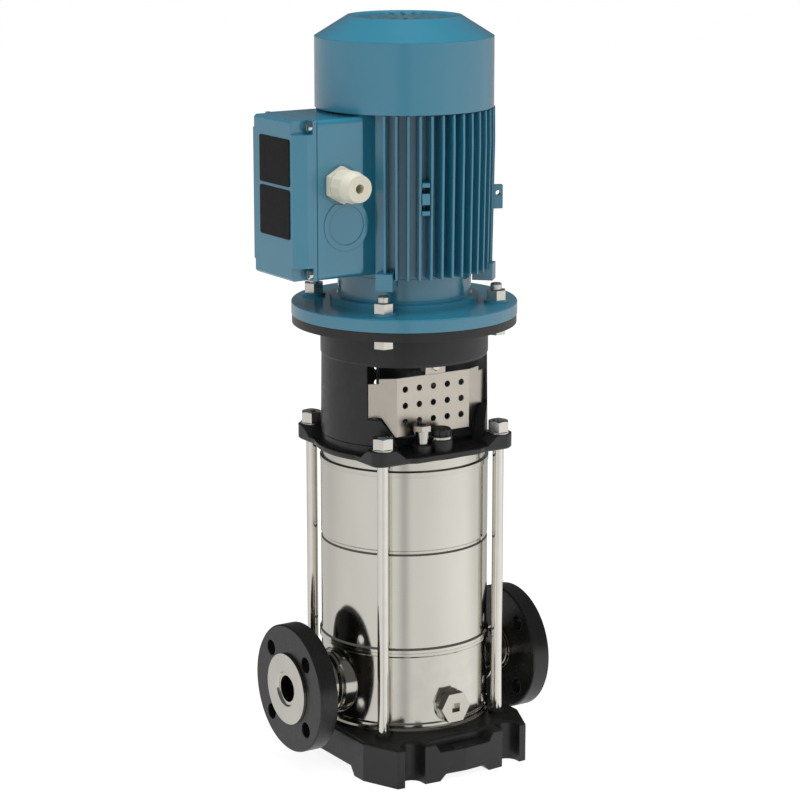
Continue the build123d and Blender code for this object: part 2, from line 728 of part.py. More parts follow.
# ================================================================ stage casings
inner_stage = STAGE_RADIUS - STAGE_WALL
diffuser_length = inner_stage - DIAPHRAGM_RADIUS + 2
return_length = DIAPHRAGM_RADIUS - EYE_RADIUS - 4
with BuildPart() as stage_form:
    with BuildSketch(Plane.XZ):
        with Locations((inner_stage, 0)):
            Rectangle(STAGE_WALL, STAGE_PITCH - SEAT, align=(Align.MIN, Align.MIN))
        with Locations((EYE_RADIUS + FREE, 0)):
            Rectangle(STAGE_RADIUS - EYE_RADIUS - FREE, STAGE_FLOOR, align=(Align.MIN, Align.MIN))
        with Locations((SLEEVE_OUTER + AIR, DIAPHRAGM_START)):
            diaphragm_width = DIAPHRAGM_RADIUS - SLEEVE_OUTER - AIR
            Rectangle(diaphragm_width, DIAPHRAGM, align=(Align.MIN, Align.MIN))
    revolve(axis=Axis.Z)
    with BuildSketch(Plane.XY.offset(STAGE_FLOOR / 2)):
        with PolarLocations(DIAPHRAGM_RADIUS - 0.8, DIFFUSER_VANES):
            Rectangle(diffuser_length, 2 * VANE, align=(Align.MIN, Align.CENTER), rotation=8)
    extrude(amount=DIAPHRAGM_START + DIAPHRAGM - STAGE_FLOOR / 2)
    with BuildSketch(Plane.XY.offset(DIAPHRAGM_START + DIAPHRAGM / 2)):
        with PolarLocations(EYE_RADIUS + 3, DIFFUSER_VANES, start_angle=20):
            Rectangle(return_length, VANE, align=(Align.MIN, Align.CENTER), rotation=14)
    extrude(amount=STAGE_PITCH - SEAT - DIAPHRAGM_START - DIAPHRAGM / 2)

with BuildPart() as stage_casings:
    for stage in range(STAGE_COUNT):
        with Locations((0, 0, stack_bottom + stage * STAGE_PITCH)):
            add(stage_form.part)
stage_casings.part.label = "stage_casings"
export_step(stage_casings.part, "parts/stage_casings.step")

# ================================================================ impellers
hub_top = IMPELLER_BACK + SHROUD
with BuildPart() as impeller_form:
    with BuildSketch(Plane.XZ):
        with BuildLine():
            Polyline(
                (SHAFT_RADIUS + SEAT / 2, HUB_START),
                (HUB_RADIUS, HUB_START),
                (HUB_RADIUS, IMPELLER_BACK - 3),
                (HUB_RADIUS + 4, IMPELLER_BACK),
                (IMPELLER_RADIUS, IMPELLER_BACK),
                (IMPELLER_RADIUS, hub_top),
                (SHAFT_RADIUS + SEAT / 2, hub_top),
                close=True,
            )
        make_face()
        with BuildLine():
            neck_inner = EYE_RADIUS - EYE_LIP
            Polyline(
                (neck_inner, STAGE_FLOOR / 4),
                (EYE_RADIUS, STAGE_FLOOR / 4),
                (EYE_RADIUS, IMPELLER_FRONT),
                (IMPELLER_RADIUS, IMPELLER_FRONT + 1),
                (IMPELLER_RADIUS, IMPELLER_FRONT + 1 + SHROUD),
                (neck_inner, IMPELLER_FRONT + SHROUD),
                close=True,
            )
        make_face()
    revolve(axis=Axis.Z)
    with BuildSketch(Plane.XY.offset(IMPELLER_FRONT + SHROUD / 2)):
        with BuildLine():
            inner_end = neck_inner + 0.5
            outer_end = IMPELLER_RADIUS - VANE / 2
            for index in range(IMPELLER_VANES):
                turn = index * 360 / IMPELLER_VANES
                ThreePointArc(
                    on_circle(inner_end, turn),
                    on_circle((inner_end + outer_end) / 2, turn - 22),
                    on_circle(outer_end, turn - 62),
                )
        trace(line_width=VANE)
    extrude(amount=IMPELLER_BACK - IMPELLER_FRONT)

with BuildPart() as impellers:
    for stage in range(STAGE_COUNT):
        with Locations((0, 0, stack_bottom + stage * STAGE_PITCH)):
            add(impeller_form.part)
impellers.part.label = "impellers"
export_step(impellers.part, "parts/impellers.step")

# ================================================================ pump shaft and what it carries
collar_top = plate_top - SEAT_HEIGHT - FREE - SEAL_FACE_HEIGHT - BELLOWS_HEIGHT
with BuildPart() as spacer_sleeves:
    for stage in range(STAGE_COUNT):
        sleeve_start = stack_bottom + stage * STAGE_PITCH + hub_top
        last = stage == STAGE_COUNT - 1
        sleeve_end = collar_top if last else sleeve_start + STAGE_PITCH - hub_top + HUB_START
        with BuildSketch(Plane.XY.offset(sleeve_start)):
            Circle(SLEEVE_OUTER)
            Circle(SHAFT_RADIUS + SEAT / 2, mode=Mode.SUBTRACT)
        extrude(amount=sleeve_end - sleeve_start)
spacer_sleeves.part.label = "spacer_sleeves"
export_step(spacer_sleeves.part, "parts/spacer_sleeves.step")

nut_top = stack_bottom + HUB_START
with BuildPart() as lock_nut:
    with BuildSketch(Plane.XY.offset(nut_top - LOCK_NUT_HEIGHT)):
        RegularPolygon(LOCK_NUT_FLATS / 2, 6, major_radius=False)
        Circle(SHAFT_RADIUS + SEAT / 2, mode=Mode.SUBTRACT)
    extrude(amount=LOCK_NUT_HEIGHT)
lock_nut.part.label = "lock_nut"
export_step(lock_nut.part, "parts/lock_nut.step")

with BuildPart() as pump_shaft:
    with BuildSketch(Plane.XZ):
        with BuildLine():
            Polyline(
                (0, bush_bottom + 1),
                (JOURNAL_RADIUS - 0.8, bush_bottom + 1),
                (JOURNAL_RADIUS, bush_bottom + 1.8),
                (JOURNAL_RADIUS, JOURNAL_TOP),
                (SHAFT_RADIUS, JOURNAL_TOP),
                (SHAFT_RADIUS, pump_shaft_top - 1),
                (SHAFT_RADIUS - 1, pump_shaft_top),
                (0, pump_shaft_top),
                close=True,
            )
        make_face()
    revolve(axis=Axis.Z)
pump_shaft.part.label = "pump_shaft"
export_step(pump_shaft.part, "parts/pump_shaft.step")

# ================================================================ mechanical seal
seat_bottom = plate_top - SEAT_HEIGHT
with BuildPart() as seal_seat:
    with BuildSketch(Plane.XY.offset(seat_bottom)):
        Circle(SEAL_BORE - SEAT)
        Circle(SEAT_BORE, mode=Mode.SUBTRACT)
    extrude(amount=SEAT_HEIGHT)
seal_seat.part.label = "seal_seat"
export_step(seal_seat.part, "parts/seal_seat.step")

face_bottom = seat_bottom - FREE - SEAL_FACE_HEIGHT
with BuildPart() as seal_ring:
    with BuildSketch(Plane.XY.offset(face_bottom)):
        Circle(SEAL_FACE_RADIUS)
        Circle(SHAFT_RADIUS + SEAT / 2, mode=Mode.SUBTRACT)
    extrude(amount=SEAL_FACE_HEIGHT)
    chamfer(seal_ring.edges().group_by(Axis.Z)[-1].sort_by(SortBy.RADIUS)[-1], 1.0)
seal_ring.part.label = "seal_ring"
export_step(seal_ring.part, "parts/seal_ring.step")

with BuildPart() as seal_bellows:
    with BuildSketch(Plane.XZ):
        with BuildLine():
            fold = BELLOWS_HEIGHT / (2 * BELLOWS_FOLDS)
            crest = BELLOWS_RADIUS
            valley = BELLOWS_RADIUS - 2.2
            outline = [(SHAFT_RADIUS + SEAT / 2, collar_top), (crest, collar_top)]
            for turn in range(1, 2 * BELLOWS_FOLDS):
                outline.append((valley if turn % 2 else crest, collar_top + turn * fold))
            outline.append((crest, face_bottom))
            outline.append((SHAFT_RADIUS + SEAT / 2, face_bottom))
            Polyline(*outline, close=True)
        make_face()
    revolve(axis=Axis.Z)
seal_bellows.part.label = "seal_bellows"
export_step(seal_bellows.part, "parts/seal_bellows.step")

with BuildPart() as seal_plate:
    with BuildSketch(Plane.XY.offset(plate_top)):
        Circle(SEAL_PLATE_RADIUS)
        Circle(SEAT_BORE, mode=Mode.SUBTRACT)
    extrude(amount=SEAL_PLATE)
    with BuildSketch(Plane.XY.offset(plate_top)):
        Circle(SEAL_TOWER_RADIUS)
        Circle(SEAT_BORE, mode=Mode.SUBTRACT)
    extrude(amount=SEAL_TOWER)
    chamfer(seal_plate.edges().group_by(Axis.Z)[-1].sort_by(SortBy.RADIUS)[-1], 1.5)
seal_plate.part.label = "seal_plate"
export_step(seal_plate.part, "parts/seal_plate.step")

# ================================================================ tie rods, washers and nuts
nut_seat = pad_top + WASHER_THICKNESS
rod_bottom = rod_boss_top - ROD_GRIP
rod_top = nut_seat + ROD_NUT_HEIGHT + ROD_TIP
with BuildPart() as tie_rods:
    with BuildSketch(Plane.XY.offset(rod_bottom)):
        with GridLocations(ROD_SPACING, ROD_SPACING, 2, 2):
            Circle(ROD_RADIUS)
    extrude(amount=rod_top - rod_bottom)
    chamfer(tie_rods.edges().group_by(Axis.Z)[-1], 0.9)
tie_rods.part.label = "tie_rods"
export_step(tie_rods.part, "parts/tie_rods.step")

with BuildPart() as rod_washers:
    with BuildSketch(Plane.XY.offset(pad_top)):
        with GridLocations(ROD_SPACING, ROD_SPACING, 2, 2):
            Circle(ROD_WASHER_RADIUS)
            Circle(ROD_RADIUS + SEAT, mode=Mode.SUBTRACT)
    extrude(amount=WASHER_THICKNESS)
rod_washers.part.label = "rod_washers"
export_step(rod_washers.part, "parts/rod_washers.step")

with BuildPart() as rod_nuts:
    with BuildSketch(Plane.XY.offset(nut_seat)):
        with GridLocations(ROD_SPACING, ROD_SPACING, 2, 2):
            RegularPolygon(ROD_NUT_FLATS / 2, 6, major_radius=False)
    extrude(amount=ROD_NUT_HEIGHT)
    # corners turned off at the top
    for x in (-rod_half, rod_half):
        for y in (-rod_half, rod_half):
            with BuildSketch(Plane.XZ.offset(-y)):
                with BuildLine():
                    over_corner = ROD_NUT_FLATS * HEX_CORNER / 2
                    top = nut_seat + ROD_NUT_HEIGHT
                    Polyline(
                        (x + ROD_NUT_FLATS / 2 - 0.3, top),
                        (x + over_corner + 1, top),
                        (x + over_corner + 1, top - 1.2),
                        close=True,
                    )
                make_face()
            revolve(axis=Axis((x, y, 0), (0, 0, 1)), mode=Mode.SUBTRACT)
    with Locations((0, 0, nut_seat + ROD_NUT_HEIGHT)):
        with GridLocations(ROD_SPACING, ROD_SPACING, 2, 2):
            Hole(ROD_RADIUS + SEAT / 2, 2 * ROD_NUT_HEIGHT)
rod_nuts.part.label = "rod_nuts"
export_step(rod_nuts.part, "parts/rod_nuts.step")

# ================================================================ lantern between pump and motor
bolt_half = MOTOR_PCD / 2 / sqrt(2)
with BuildPart() as lantern:
    with BuildSketch(Plane.XY.offset(plate_bottom)) as plate_outline:
        Circle(PLATE_BULGE)
        Rectangle(3 * PLATE_BULGE, 2 * PLATE_FRONT, mode=Mode.INTERSECT)
        RectangleRounded(PLATE_LENGTH, PLATE_WIDTH, PLATE_CORNER)
    extrude(amount=PLATE_THICKNESS)
    chamfer(lantern.faces().sort_by(Axis.Z)[0].edges(), PLATE_EDGE)
    # raised pads under the nuts, trimmed to the plate
    with Locations((0, 0, plate_top)):
        with GridLocations(ROD_SPACING, ROD_SPACING, 2, 2):
            Cone(
                PAD_RADIUS + PAD_FLANK,
                PAD_RADIUS,
                PAD_HEIGHT,
                align=(Align.CENTER, Align.CENTER, Align.MIN),
            )
    extrude(plate_outline.sketch, amount=2 * LANTERN_HEIGHT, mode=Mode.INTERSECT)
    # turned body: thick foot, wall, neck and motor flange
    with BuildSketch(Plane.XZ):
        with BuildLine():
            foot_top = plate_bottom + LANTERN_FOOT
            step = plate_bottom + NECK_START
            flange_under = flange_level - LANTERN_FLANGE
            Polyline(
                (LANTERN_FOOT_BORE, plate_top),
                (LANTERN_RADIUS - LINTEL, plate_top),
                (LANTERN_RADIUS - LINTEL, pad_top - 1),
                (LANTERN_RADIUS, pad_top),
                (LANTERN_RADIUS - LINTEL, step - 1),
                (LANTERN_RADIUS, step),
                (LANTERN_RADIUS, flange_under - 4),
                (LANTERN_RADIUS + 1.5, flange_under - 1.5),
                (LANTERN_RADIUS + 4, flange_under),
                (MOTOR_FLANGE_RADIUS - 0.5, flange_under),
                (MOTOR_FLANGE_RADIUS - 0.5, flange_level),
                (SPIGOT_RADIUS + SEAT, flange_level),
                (SPIGOT_RADIUS + SEAT, flange_level - 2 * SPIGOT),
                (LANTERN_BORE, flange_level - 3 * SPIGOT),
                (LANTERN_BORE, foot_top + 5),
                (LANTERN_FOOT_BORE, foot_top),
                close=True,
            )
        make_face()
    revolve(axis=Axis.Z)
    # windows at the front and the rear: one outline cut right through
    with BuildSketch(Plane.XZ):
        with BuildLine():
            shoulder = plate_bottom + SHOULDER_HEIGHT
            lintel = plate_bottom + WINDOW_TOP
            foot_end = (WINDOW_FOOT_HALF, plate_top)
            shoulder_end = (SHOULDER_FLAT, shoulder)
            middle_x = (WINDOW_FOOT_HALF + SHOULDER_FLAT) / 2 - 1.2
            middle_z = (plate_top + shoulder) / 2 + 2.2
            Line((0, plate_top), foot_end)
            ThreePointArc(foot_end, (middle_x, middle_z), shoulder_end)
            Polyline(shoulder_end, (WINDOW_HALF, shoulder), (WINDOW_HALF, lintel), (0, lintel))
            mirror(about=Plane.YZ)
        make_face()
    extrude(amount=MOTOR_FLANGE_RADIUS, both=True, mode=Mode.SUBTRACT)
    # bosses for the vent plug and the priming plug
    with Locations((VENT_X, -VENT_Y, plate_top)):
        Cylinder(VENT_BOSS_RADIUS, VENT_BOSS, align=(Align.CENTER, Align.CENTER, Align.MIN))
    with Locations((VENT_X - PRIME_X, -VENT_Y, plate_top)):
        Cylinder(PRIME_COLLAR_RADIUS, PRIME_BOSS, align=(Align.CENTER, Align.CENTER, Align.MIN))
    # lugs that carry the guards
    lug_face = GUARD_FACE + TAB_OFFSET - GUARD_SHEET / 2
    lug_bottom = plate_bottom + GUARD_TOP + 2.6
    for side in (-1, 1):
        with Locations((0, side * (lug_face - LUG_DEPTH / 2), (lug_bottom + lintel + 4) / 2)):
            Box(2 * TAB_HALF - 2, LUG_DEPTH, lintel + 4 - lug_bottom)
        reach = LANTERN_BORE + 1 - lug_face + LUG_DEPTH
        with Locations((0, side * (lug_face - LUG_DEPTH + reach / 2), lintel + 4)):
            Box(2 * TAB_HALF - 2, reach, 6)
        with Locations((0, side * lug_face, plate_bottom + (TAB_TOP + GUARD_TOP) / 2 + 1)):
            Cylinder(
                GUARD_SCREW_RADIUS + SEAT,
                LUG_DEPTH,
                rotation=(90, 0, 0),
                mode=Mode.SUBTRACT,
            )
    # bore over the seal, rod holes, bolt holes with their spot faces, plug holes
    with Locations((0, 0, plate_top)):
        Hole(PLATE_BORE, 2 * PLATE_THICKNESS)
    with Locations((0, 0, pad_top)):
        with GridLocations(ROD_SPACING, ROD_SPACING, 2, 2):
            Hole(ROD_RADIUS + FREE, 2 * PAD_HEIGHT)
    with Locations((0, 0, flange_level)):
        with GridLocations(2 * bolt_half, 2 * bolt_half, 2, 2):
            Hole(MOTOR_BOLT_RADIUS + FREE, 2 * LANTERN_FLANGE)
    with Locations((0, 0, flange_under - SPOT_FACE_DEPTH / 2)):
        with GridLocations(2 * bolt_half, 2 * bolt_half, 2, 2):
            Cylinder(SPOT_FACE_RADIUS, SPOT_FACE_DEPTH, mode=Mode.SUBTRACT)
    with Locations((VENT_X, -VENT_Y, plate_top + VENT_BOSS)):
        Hole(VENT_STEM_RADIUS + RUNNING, VENT_STEM + FREE)
    with Locations((VENT_X - PRIME_X, -VENT_Y, plate_top + PRIME_BOSS)):
        Hole(PRIME_STEM_RADIUS + RUNNING, PRIME_STEM + FREE)
lantern.part.label = "lantern"
export_step(lantern.part, "parts/lantern.step")

# ================================================================ coupling guards
guard_bottom = plate_bottom + GUARD_BOTTOM
guard_top = plate_bottom + GUARD_TOP
wing_bottom = plate_bottom + SHOULDER_HEIGHT + FREE
tab_top = plate_bottom + TAB_TOP
screw_level = plate_bottom + (TAB_TOP + GUARD_TOP) / 2 + 1
with BuildPart() as front_guard:
    # folded sheet seen from above
    with BuildSketch(Plane.XY.offset(guard_bottom)):
        with BuildLine():
            Polyline(
                (-GUARD_WING_X, -GUARD_WING_Y),
                (-GUARD_HALF, -GUARD_FACE),
                (GUARD_HALF, -GUARD_FACE),
                (GUARD_WING_X, -GUARD_WING_Y),
            )
        trace(line_width=GUARD_SHEET)
    extrude(amount=guard_top - guard_bottom)
    # outline of the blank seen from the front
    with BuildSketch(Plane.XZ):
        with BuildLine():
            skirt_corner = (GUARD_HALF + 1.5, guard_bottom)
            skirt_end = (GUARD_SKIRT_HALF, wing_bottom)
            bend_x = (GUARD_HALF + GUARD_SKIRT_HALF) / 2 + 2
            bend_z = (guard_bottom + wing_bottom) / 2 + 2
            Line((0, guard_bottom), skirt_corner)
            ThreePointArc(skirt_corner, (bend_x, bend_z), skirt_end)
            Polyline(
                skirt_end,
                (GUARD_WING_X - 0.4, wing_bottom),
                (GUARD_WING_X - 0.4, guard_top - GUARD_WING_STEP),
                (GUARD_WING_X - 9, guard_top - GUARD_WING_STEP),
                (GUARD_WING_X - 9, guard_top),
                (0, guard_top),
            )
            mirror(about=Plane.YZ)
        make_face()
        with Locations((0, plate_bottom + (GUARD_BOTTOM + GUARD_TOP) / 2 + 1)):
            with GridLocations(GUARD_HOLE_PITCH, GUARD_HOLE_PITCH, GUARD_COLUMNS, GUARD_ROWS):
                Circle(GUARD_HOLE_RADIUS, mode=Mode.SUBTRACT)
    extrude(amount=2 * GUARD_FACE, both=True, mode=Mode.INTERSECT)
    # offset tab with its screw hole
    with BuildSketch(Plane.YZ):
        with BuildLine():
            Polyline(
                (-GUARD_FACE, guard_top - 2),
                (-GUARD_FACE, guard_top),
                (-GUARD_FACE - TAB_OFFSET, guard_top + 1.5),
                (-GUARD_FACE - TAB_OFFSET, tab_top),
            )
        trace(line_width=GUARD_SHEET)
    extrude(amount=TAB_HALF, both=True)
    with Locations((0, -GUARD_FACE - TAB_OFFSET, screw_level)):
        Cylinder(GUARD_SCREW_RADIUS + FREE, 4 * GUARD_SHEET, rotation=(90, 0, 0), mode=Mode.SUBTRACT)
front_guard.part.label = "front_guard"
export_step(front_guard.part, "parts/front_guard.step")

with BuildPart() as rear_guard:
    add(front_guard.part)
    mirror(about=Plane.XZ, mode=Mode.REPLACE)
rear_guard.part.label = "rear_guard"
export_step(rear_guard.part, "parts/rear_guard.step")

with BuildPart() as guard_screws:
    tab_face = GUARD_FACE + TAB_OFFSET + GUARD_SHEET / 2
    for side in (-1, 1):
        outward = Plane(origin=(0, side * tab_face, screw_level), z_dir=(0, side, 0))
        with BuildSketch(outward):
            Circle(GUARD_SCREW_HEAD)
        extrude(amount=2.6)
        with BuildSketch(outward):
            Circle(GUARD_SCREW_RADIUS)
        extrude(amount=-LUG_DEPTH / 2)
    chamfer(guard_screws.edges().filter_by(lambda e: abs(e.center().Y) > tab_face + 2), 0.8)
guard_screws.part.label = "guard_screws"
export_step(guard_screws.part, "parts/guard_screws.step")

# ================================================================ plugs
vent_seat = plate_top + VENT_BOSS
with BuildPart() as vent_ring:
    with BuildSketch(Plane.XY.offset(vent_seat)):
        with Locations((VENT_X, -VENT_Y)):
            Circle(VENT_RING_RADIUS)
            Circle(VENT_STEM_RADIUS + FREE, mode=Mode.SUBTRACT)
    extrude(amount=VENT_RING)
    chamfer(vent_ring.edges().group_by(Axis.Z)[-1].sort_by(SortBy.RADIUS)[-1], 0.8)
vent_ring.part.label = "vent_ring"
export_step(vent_ring.part, "parts/vent_ring.step")

with BuildPart() as vent_plug:
    knob_bottom = vent_seat + VENT_RING + FREE
    with BuildSketch(Plane.XY.offset(knob_bottom)):
        with Locations((VENT_X, -VENT_Y)):
            Circle(VENT_KNOB_RADIUS)
    extrude(amount=VENT_KNOB)
    chamfer(vent_plug.faces().sort_by(Axis.Z)[-1].edges(), 1.1)
    with Locations((VENT_X, -VENT_Y, knob_bottom)):
        with PolarLocations(VENT_KNOB_RADIUS + 0.6, 8):
            Cylinder(1.6, 3 * VENT_KNOB, mode=Mode.SUBTRACT)
    with BuildSketch(Plane.XY.offset(vent_seat - VENT_STEM)):
        with Locations((VENT_X, -VENT_Y)):
            Circle(VENT_STEM_RADIUS)
    extrude(amount=VENT_STEM + VENT_RING + 1)
vent_plug.part.label = "vent_plug"
export_step(vent_plug.part, "parts/vent_plug.step")

with BuildPart() as priming_plug:
    prime_seat = plate_top + PRIME_BOSS
    with BuildSketch(Plane.XY.offset(prime_seat)):
        with Locations((VENT_X - PRIME_X, -VENT_Y)):
            Circle(PRIME_FOOT_RADIUS)
    with BuildSketch(Plane.XY.offset(prime_seat + PRIME_HEIGHT - PRIME_HEAD)):
        with Locations((VENT_X - PRIME_X, -VENT_Y)):
            Circle(PRIME_CONE_RADIUS)
    loft()
    with BuildSketch(Plane.XY.offset(prime_seat + PRIME_HEIGHT)):
        with Locations((VENT_X - PRIME_X, -VENT_Y)):
            RegularPolygon(PRIME_FLATS / 2, 6, major_radius=False)
    extrude(amount=-PRIME_HEAD)
    with Locations((VENT_X - PRIME_X, -VENT_Y, prime_seat + PRIME_HEIGHT)):
        Cylinder(4, 6, mode=Mode.SUBTRACT)
    with Locations((VENT_X - PRIME_X, -VENT_Y, prime_seat)):
        Cylinder(PRIME_STEM_RADIUS, PRIME_STEM, align=(Align.CENTER, Align.CENTER, Align.MAX))
priming_plug.part.label = "priming_plug"
export_step(priming_plug.part, "parts/priming_plug.step")

with BuildPart() as drain_washer:
    drain_plane = Plane(origin=(0, -DRAIN_BOSS_REACH, DRAIN_HEIGHT), x_dir=(1, 0, 0), z_dir=(0, -1, 0))
    with BuildSketch(drain_plane):
        Circle(DRAIN_WASHER_RADIUS)
        Circle(DRAIN_THREAD_RADIUS + SEAT, mode=Mode.SUBTRACT)
    extrude(amount=DRAIN_WASHER)
drain_washer.part.label = "drain_washer"
export_step(drain_washer.part, "parts/drain_washer.step")

with BuildPart() as drain_plug:
    with BuildSketch(drain_plane.offset(DRAIN_WASHER)):
        RegularPolygon(DRAIN_FLATS / 2, 6, major_radius=False)
    extrude(amount=DRAIN_HEAD)
    # corners turned off at the face
    with BuildSketch(drain_plane.offset(DRAIN_WASHER - DRAIN_FLATS)):
        Circle(DRAIN_FLATS / 2 - 0.5)
    extrude(amount=DRAIN_HEAD + DRAIN_FLATS, taper=-30, mode=Mode.INTERSECT)
    with BuildSketch(drain_plane.offset(DRAIN_WASHER + DRAIN_HEAD)):
        Rectangle(DRAIN_SOCKET, DRAIN_SOCKET)
    extrude(amount=-DRAIN_HEAD * 0.6, mode=Mode.SUBTRACT)
    with BuildSketch(drain_plane.offset(DRAIN_WASHER)):
        Circle(DRAIN_THREAD_RADIUS)
    extrude(amount=-DRAIN_WASHER - (DRAIN_BOSS_REACH - inner_radius) - 1)
drain_plug.part.label = "drain_plug"
export_step(drain_plug.part, "parts/drain_plug.step")

# ================================================================ clamp coupling
with BuildPart() as coupling_form:
    with BuildSketch(Plane.XY.offset(coupling_bottom)):
        Circle(COUPLING_RADIUS)
        Circle(SHAFT_RADIUS + SEAT / 2, mode=Mode.SUBTRACT)
    extrude(amount=COUPLING_LENGTH)
    rims = coupling_form.edges().filter_by(GeomType.CIRCLE).group_by(SortBy.RADIUS)[-1]
    chamfer(rims, 1.5)
    with BuildSketch(Plane.XY.offset(pump_shaft_top)):
        Circle(MOTOR_SHAFT_RADIUS + SEAT / 2)
    extrude(amount=COUPLING_LENGTH, mode=Mode.SUBTRACT)
    Box(
        3 * COUPLING_RADIUS,
        COUPLING_SPLIT,
        3 * coupling_top,
        mode=Mode.SUBTRACT,
    )
    for level in (coupling_bottom + 14, coupling_top - 14):
        with Locations((-COUPLING_SCREW_X, 0, level), (COUPLING_SCREW_X, 0, level)):
            Cylinder(
                COUPLING_SCREW_RADIUS + SEAT,
                3 * COUPLING_RADIUS,
                rotation=(90, 0, 0),
                mode=Mode.SUBTRACT,
            )
        head_room = COUPLING_RADIUS
        head_seat = COUPLING_SCREW_REACH
        with Locations(
            (-COUPLING_SCREW_X, -head_seat - head_room / 2, level),
            (COUPLING_SCREW_X, -head_seat - head_room / 2, level),
        ):
            Cylinder(
                COUPLING_HEAD_RADIUS + FREE,
                head_room,
                rotation=(90, 0, 0),
                mode=Mode.SUBTRACT,
            )

with BuildPart() as coupling_front_half:
    add(coupling_form.part)
    split(bisect_by=Plane.XZ, keep=Keep.TOP)
coupling_front_half.part.label = "coupling_front_half"
export_step(coupling_front_half.part, "parts/coupling_front_half.step")

with BuildPart() as coupling_rear_half:
    add(coupling_form.part)
    split(bisect_by=Plane.XZ, keep=Keep.BOTTOM)
coupling_rear_half.part.label = "coupling_rear_half"
export_step(coupling_rear_half.part, "parts/coupling_rear_half.step")

with BuildPart() as coupling_screws:
    for level in (coupling_bottom + 14, coupling_top - 14):
        for x in (-COUPLING_SCREW_X, COUPLING_SCREW_X):
            screw_plane = Plane(origin=(x, -COUPLING_SCREW_REACH, level), z_dir=(0, -1, 0))
            with BuildSketch(screw_plane):
                Circle(COUPLING_HEAD_RADIUS)
                RegularPolygon(2.9, 6, mode=Mode.SUBTRACT)
            extrude(amount=COUPLING_HEAD)
            with BuildSketch(screw_plane):
                Circle(COUPLING_HEAD_RADIUS)
            extrude(amount=2)
            with BuildSketch(screw_plane):
                Circle(COUPLING_SCREW_RADIUS)
            extrude(amount=-2 * COUPLING_SCREW_REACH)
coupling_screws.part.label = "coupling_screws"
export_step(coupling_screws.part, "parts/coupling_screws.step")

# ================================================================ motor flange (drive-end shield)
with BuildPart() as motor_flange:
    with BuildSketch(Plane.XZ):
        with BuildLine():
            race_low = bearing_low
            race_top = bearing_low + BEARING_WIDTH
            Polyline(
                (SPIGOT_RADIUS - 5, flange_level - SPIGOT),
                (SPIGOT_RADIUS, flange_level - SPIGOT),
                (SPIGOT_RADIUS, flange_level),
                (MOTOR_FLANGE_RADIUS, flange_level),
                (MOTOR_FLANGE_RADIUS, motor_flange_top - 0.8),
                (MOTOR_FLANGE_RADIUS - 0.8, motor_flange_top),
                (FOOT_RING_RADIUS, motor_flange_top),
                (FOOT_RING_RADIUS, motor_flange_top + FOOT_RING),
                (SHIELD_RADIUS + 1, motor_flange_top + FOOT_RING + 1),
                (SHIELD_RADIUS, motor_flange_top + FOOT_RING + 3),
                (SHIELD_RADIUS, frame_bottom - 4),
                (SHIELD_RIM_RADIUS, frame_bottom - 3),
                (SHIELD_RIM_RADIUS, frame_bottom),
                (FRAME_BORE - SEAT, frame_bottom),
                (FRAME_BORE - SEAT, frame_bottom + 5),
                (SHIELD_RADIUS - 3.5, frame_bottom + 5),
                (SHIELD_RADIUS - 3.5, race_low - 2),
                (BEARING_HUB, race_low - 8),
                (BEARING_HUB, race_top),
                (BEARING_RADIUS + SEAT, race_top),
                (BEARING_RADIUS + SEAT, race_low),
                (BEARING_RADIUS - 5, race_low),
                (BEARING_RADIUS - 5, race_low - 4),
                (BEARING_BORE + 3, race_low - 4),
                (BEARING_BORE + 3, flange_level + 4),
                (SPIGOT_RADIUS - 5, flange_level + 4),
                close=True,
            )
        make_face()
    revolve(axis=Axis.Z)
    # spot-faced pads under the nuts, and the bolt holes
    with Locations((0, 0, motor_flange_top)):
        with GridLocations(2 * bolt_half, 2 * bolt_half, 2, 2):
            Cylinder(SPOT_FACE_RADIUS, 2.6, align=(Align.CENTER, Align.CENTER, Align.MIN))
    with Locations((0, 0, motor_flange_top + 2.6)):
        with GridLocations(2 * bolt_half, 2 * bolt_half, 2, 2):
            Hole(MOTOR_BOLT_RADIUS + FREE, 2 * MOTOR_FLANGE)
motor_flange.part.label = "motor_flange"
export_step(motor_flange.part, "parts/motor_flange.step")

motor_nut_seat = motor_flange_top + 2.6
bolt_tip = motor_nut_seat + MOTOR_NUT + MOTOR_BOLT_TIP
with BuildPart() as flange_bolts:
    with BuildSketch(Plane.XY.offset(flange_under - MOTOR_BOLT_HEAD)):
        with GridLocations(2 * bolt_half, 2 * bolt_half, 2, 2):
            RegularPolygon(MOTOR_BOLT_FLATS / 2, 6, major_radius=False)
    extrude(amount=MOTOR_BOLT_HEAD)
    with BuildSketch(Plane.XY.offset(flange_under)):
        with GridLocations(2 * bolt_half, 2 * bolt_half, 2, 2):
            Circle(MOTOR_BOLT_RADIUS)
    extrude(amount=bolt_tip - flange_under)
    chamfer(flange_bolts.edges().group_by(Axis.Z)[-1], 1.0)
flange_bolts.part.label = "flange_bolts"
export_step(flange_bolts.part, "parts/flange_bolts.step")

with BuildPart() as flange_nuts:
    with BuildSketch(Plane.XY.offset(motor_nut_seat)):
        with GridLocations(2 * bolt_half, 2 * bolt_half, 2, 2):
            RegularPolygon(MOTOR_BOLT_FLATS / 2, 6, major_radius=False)
            Circle(MOTOR_BOLT_RADIUS + SEAT / 2, mode=Mode.SUBTRACT)
    extrude(amount=MOTOR_NUT)
flange_nuts.part.label = "flange_nuts"
export_step(flange_nuts.part, "parts/flange_nuts.step")

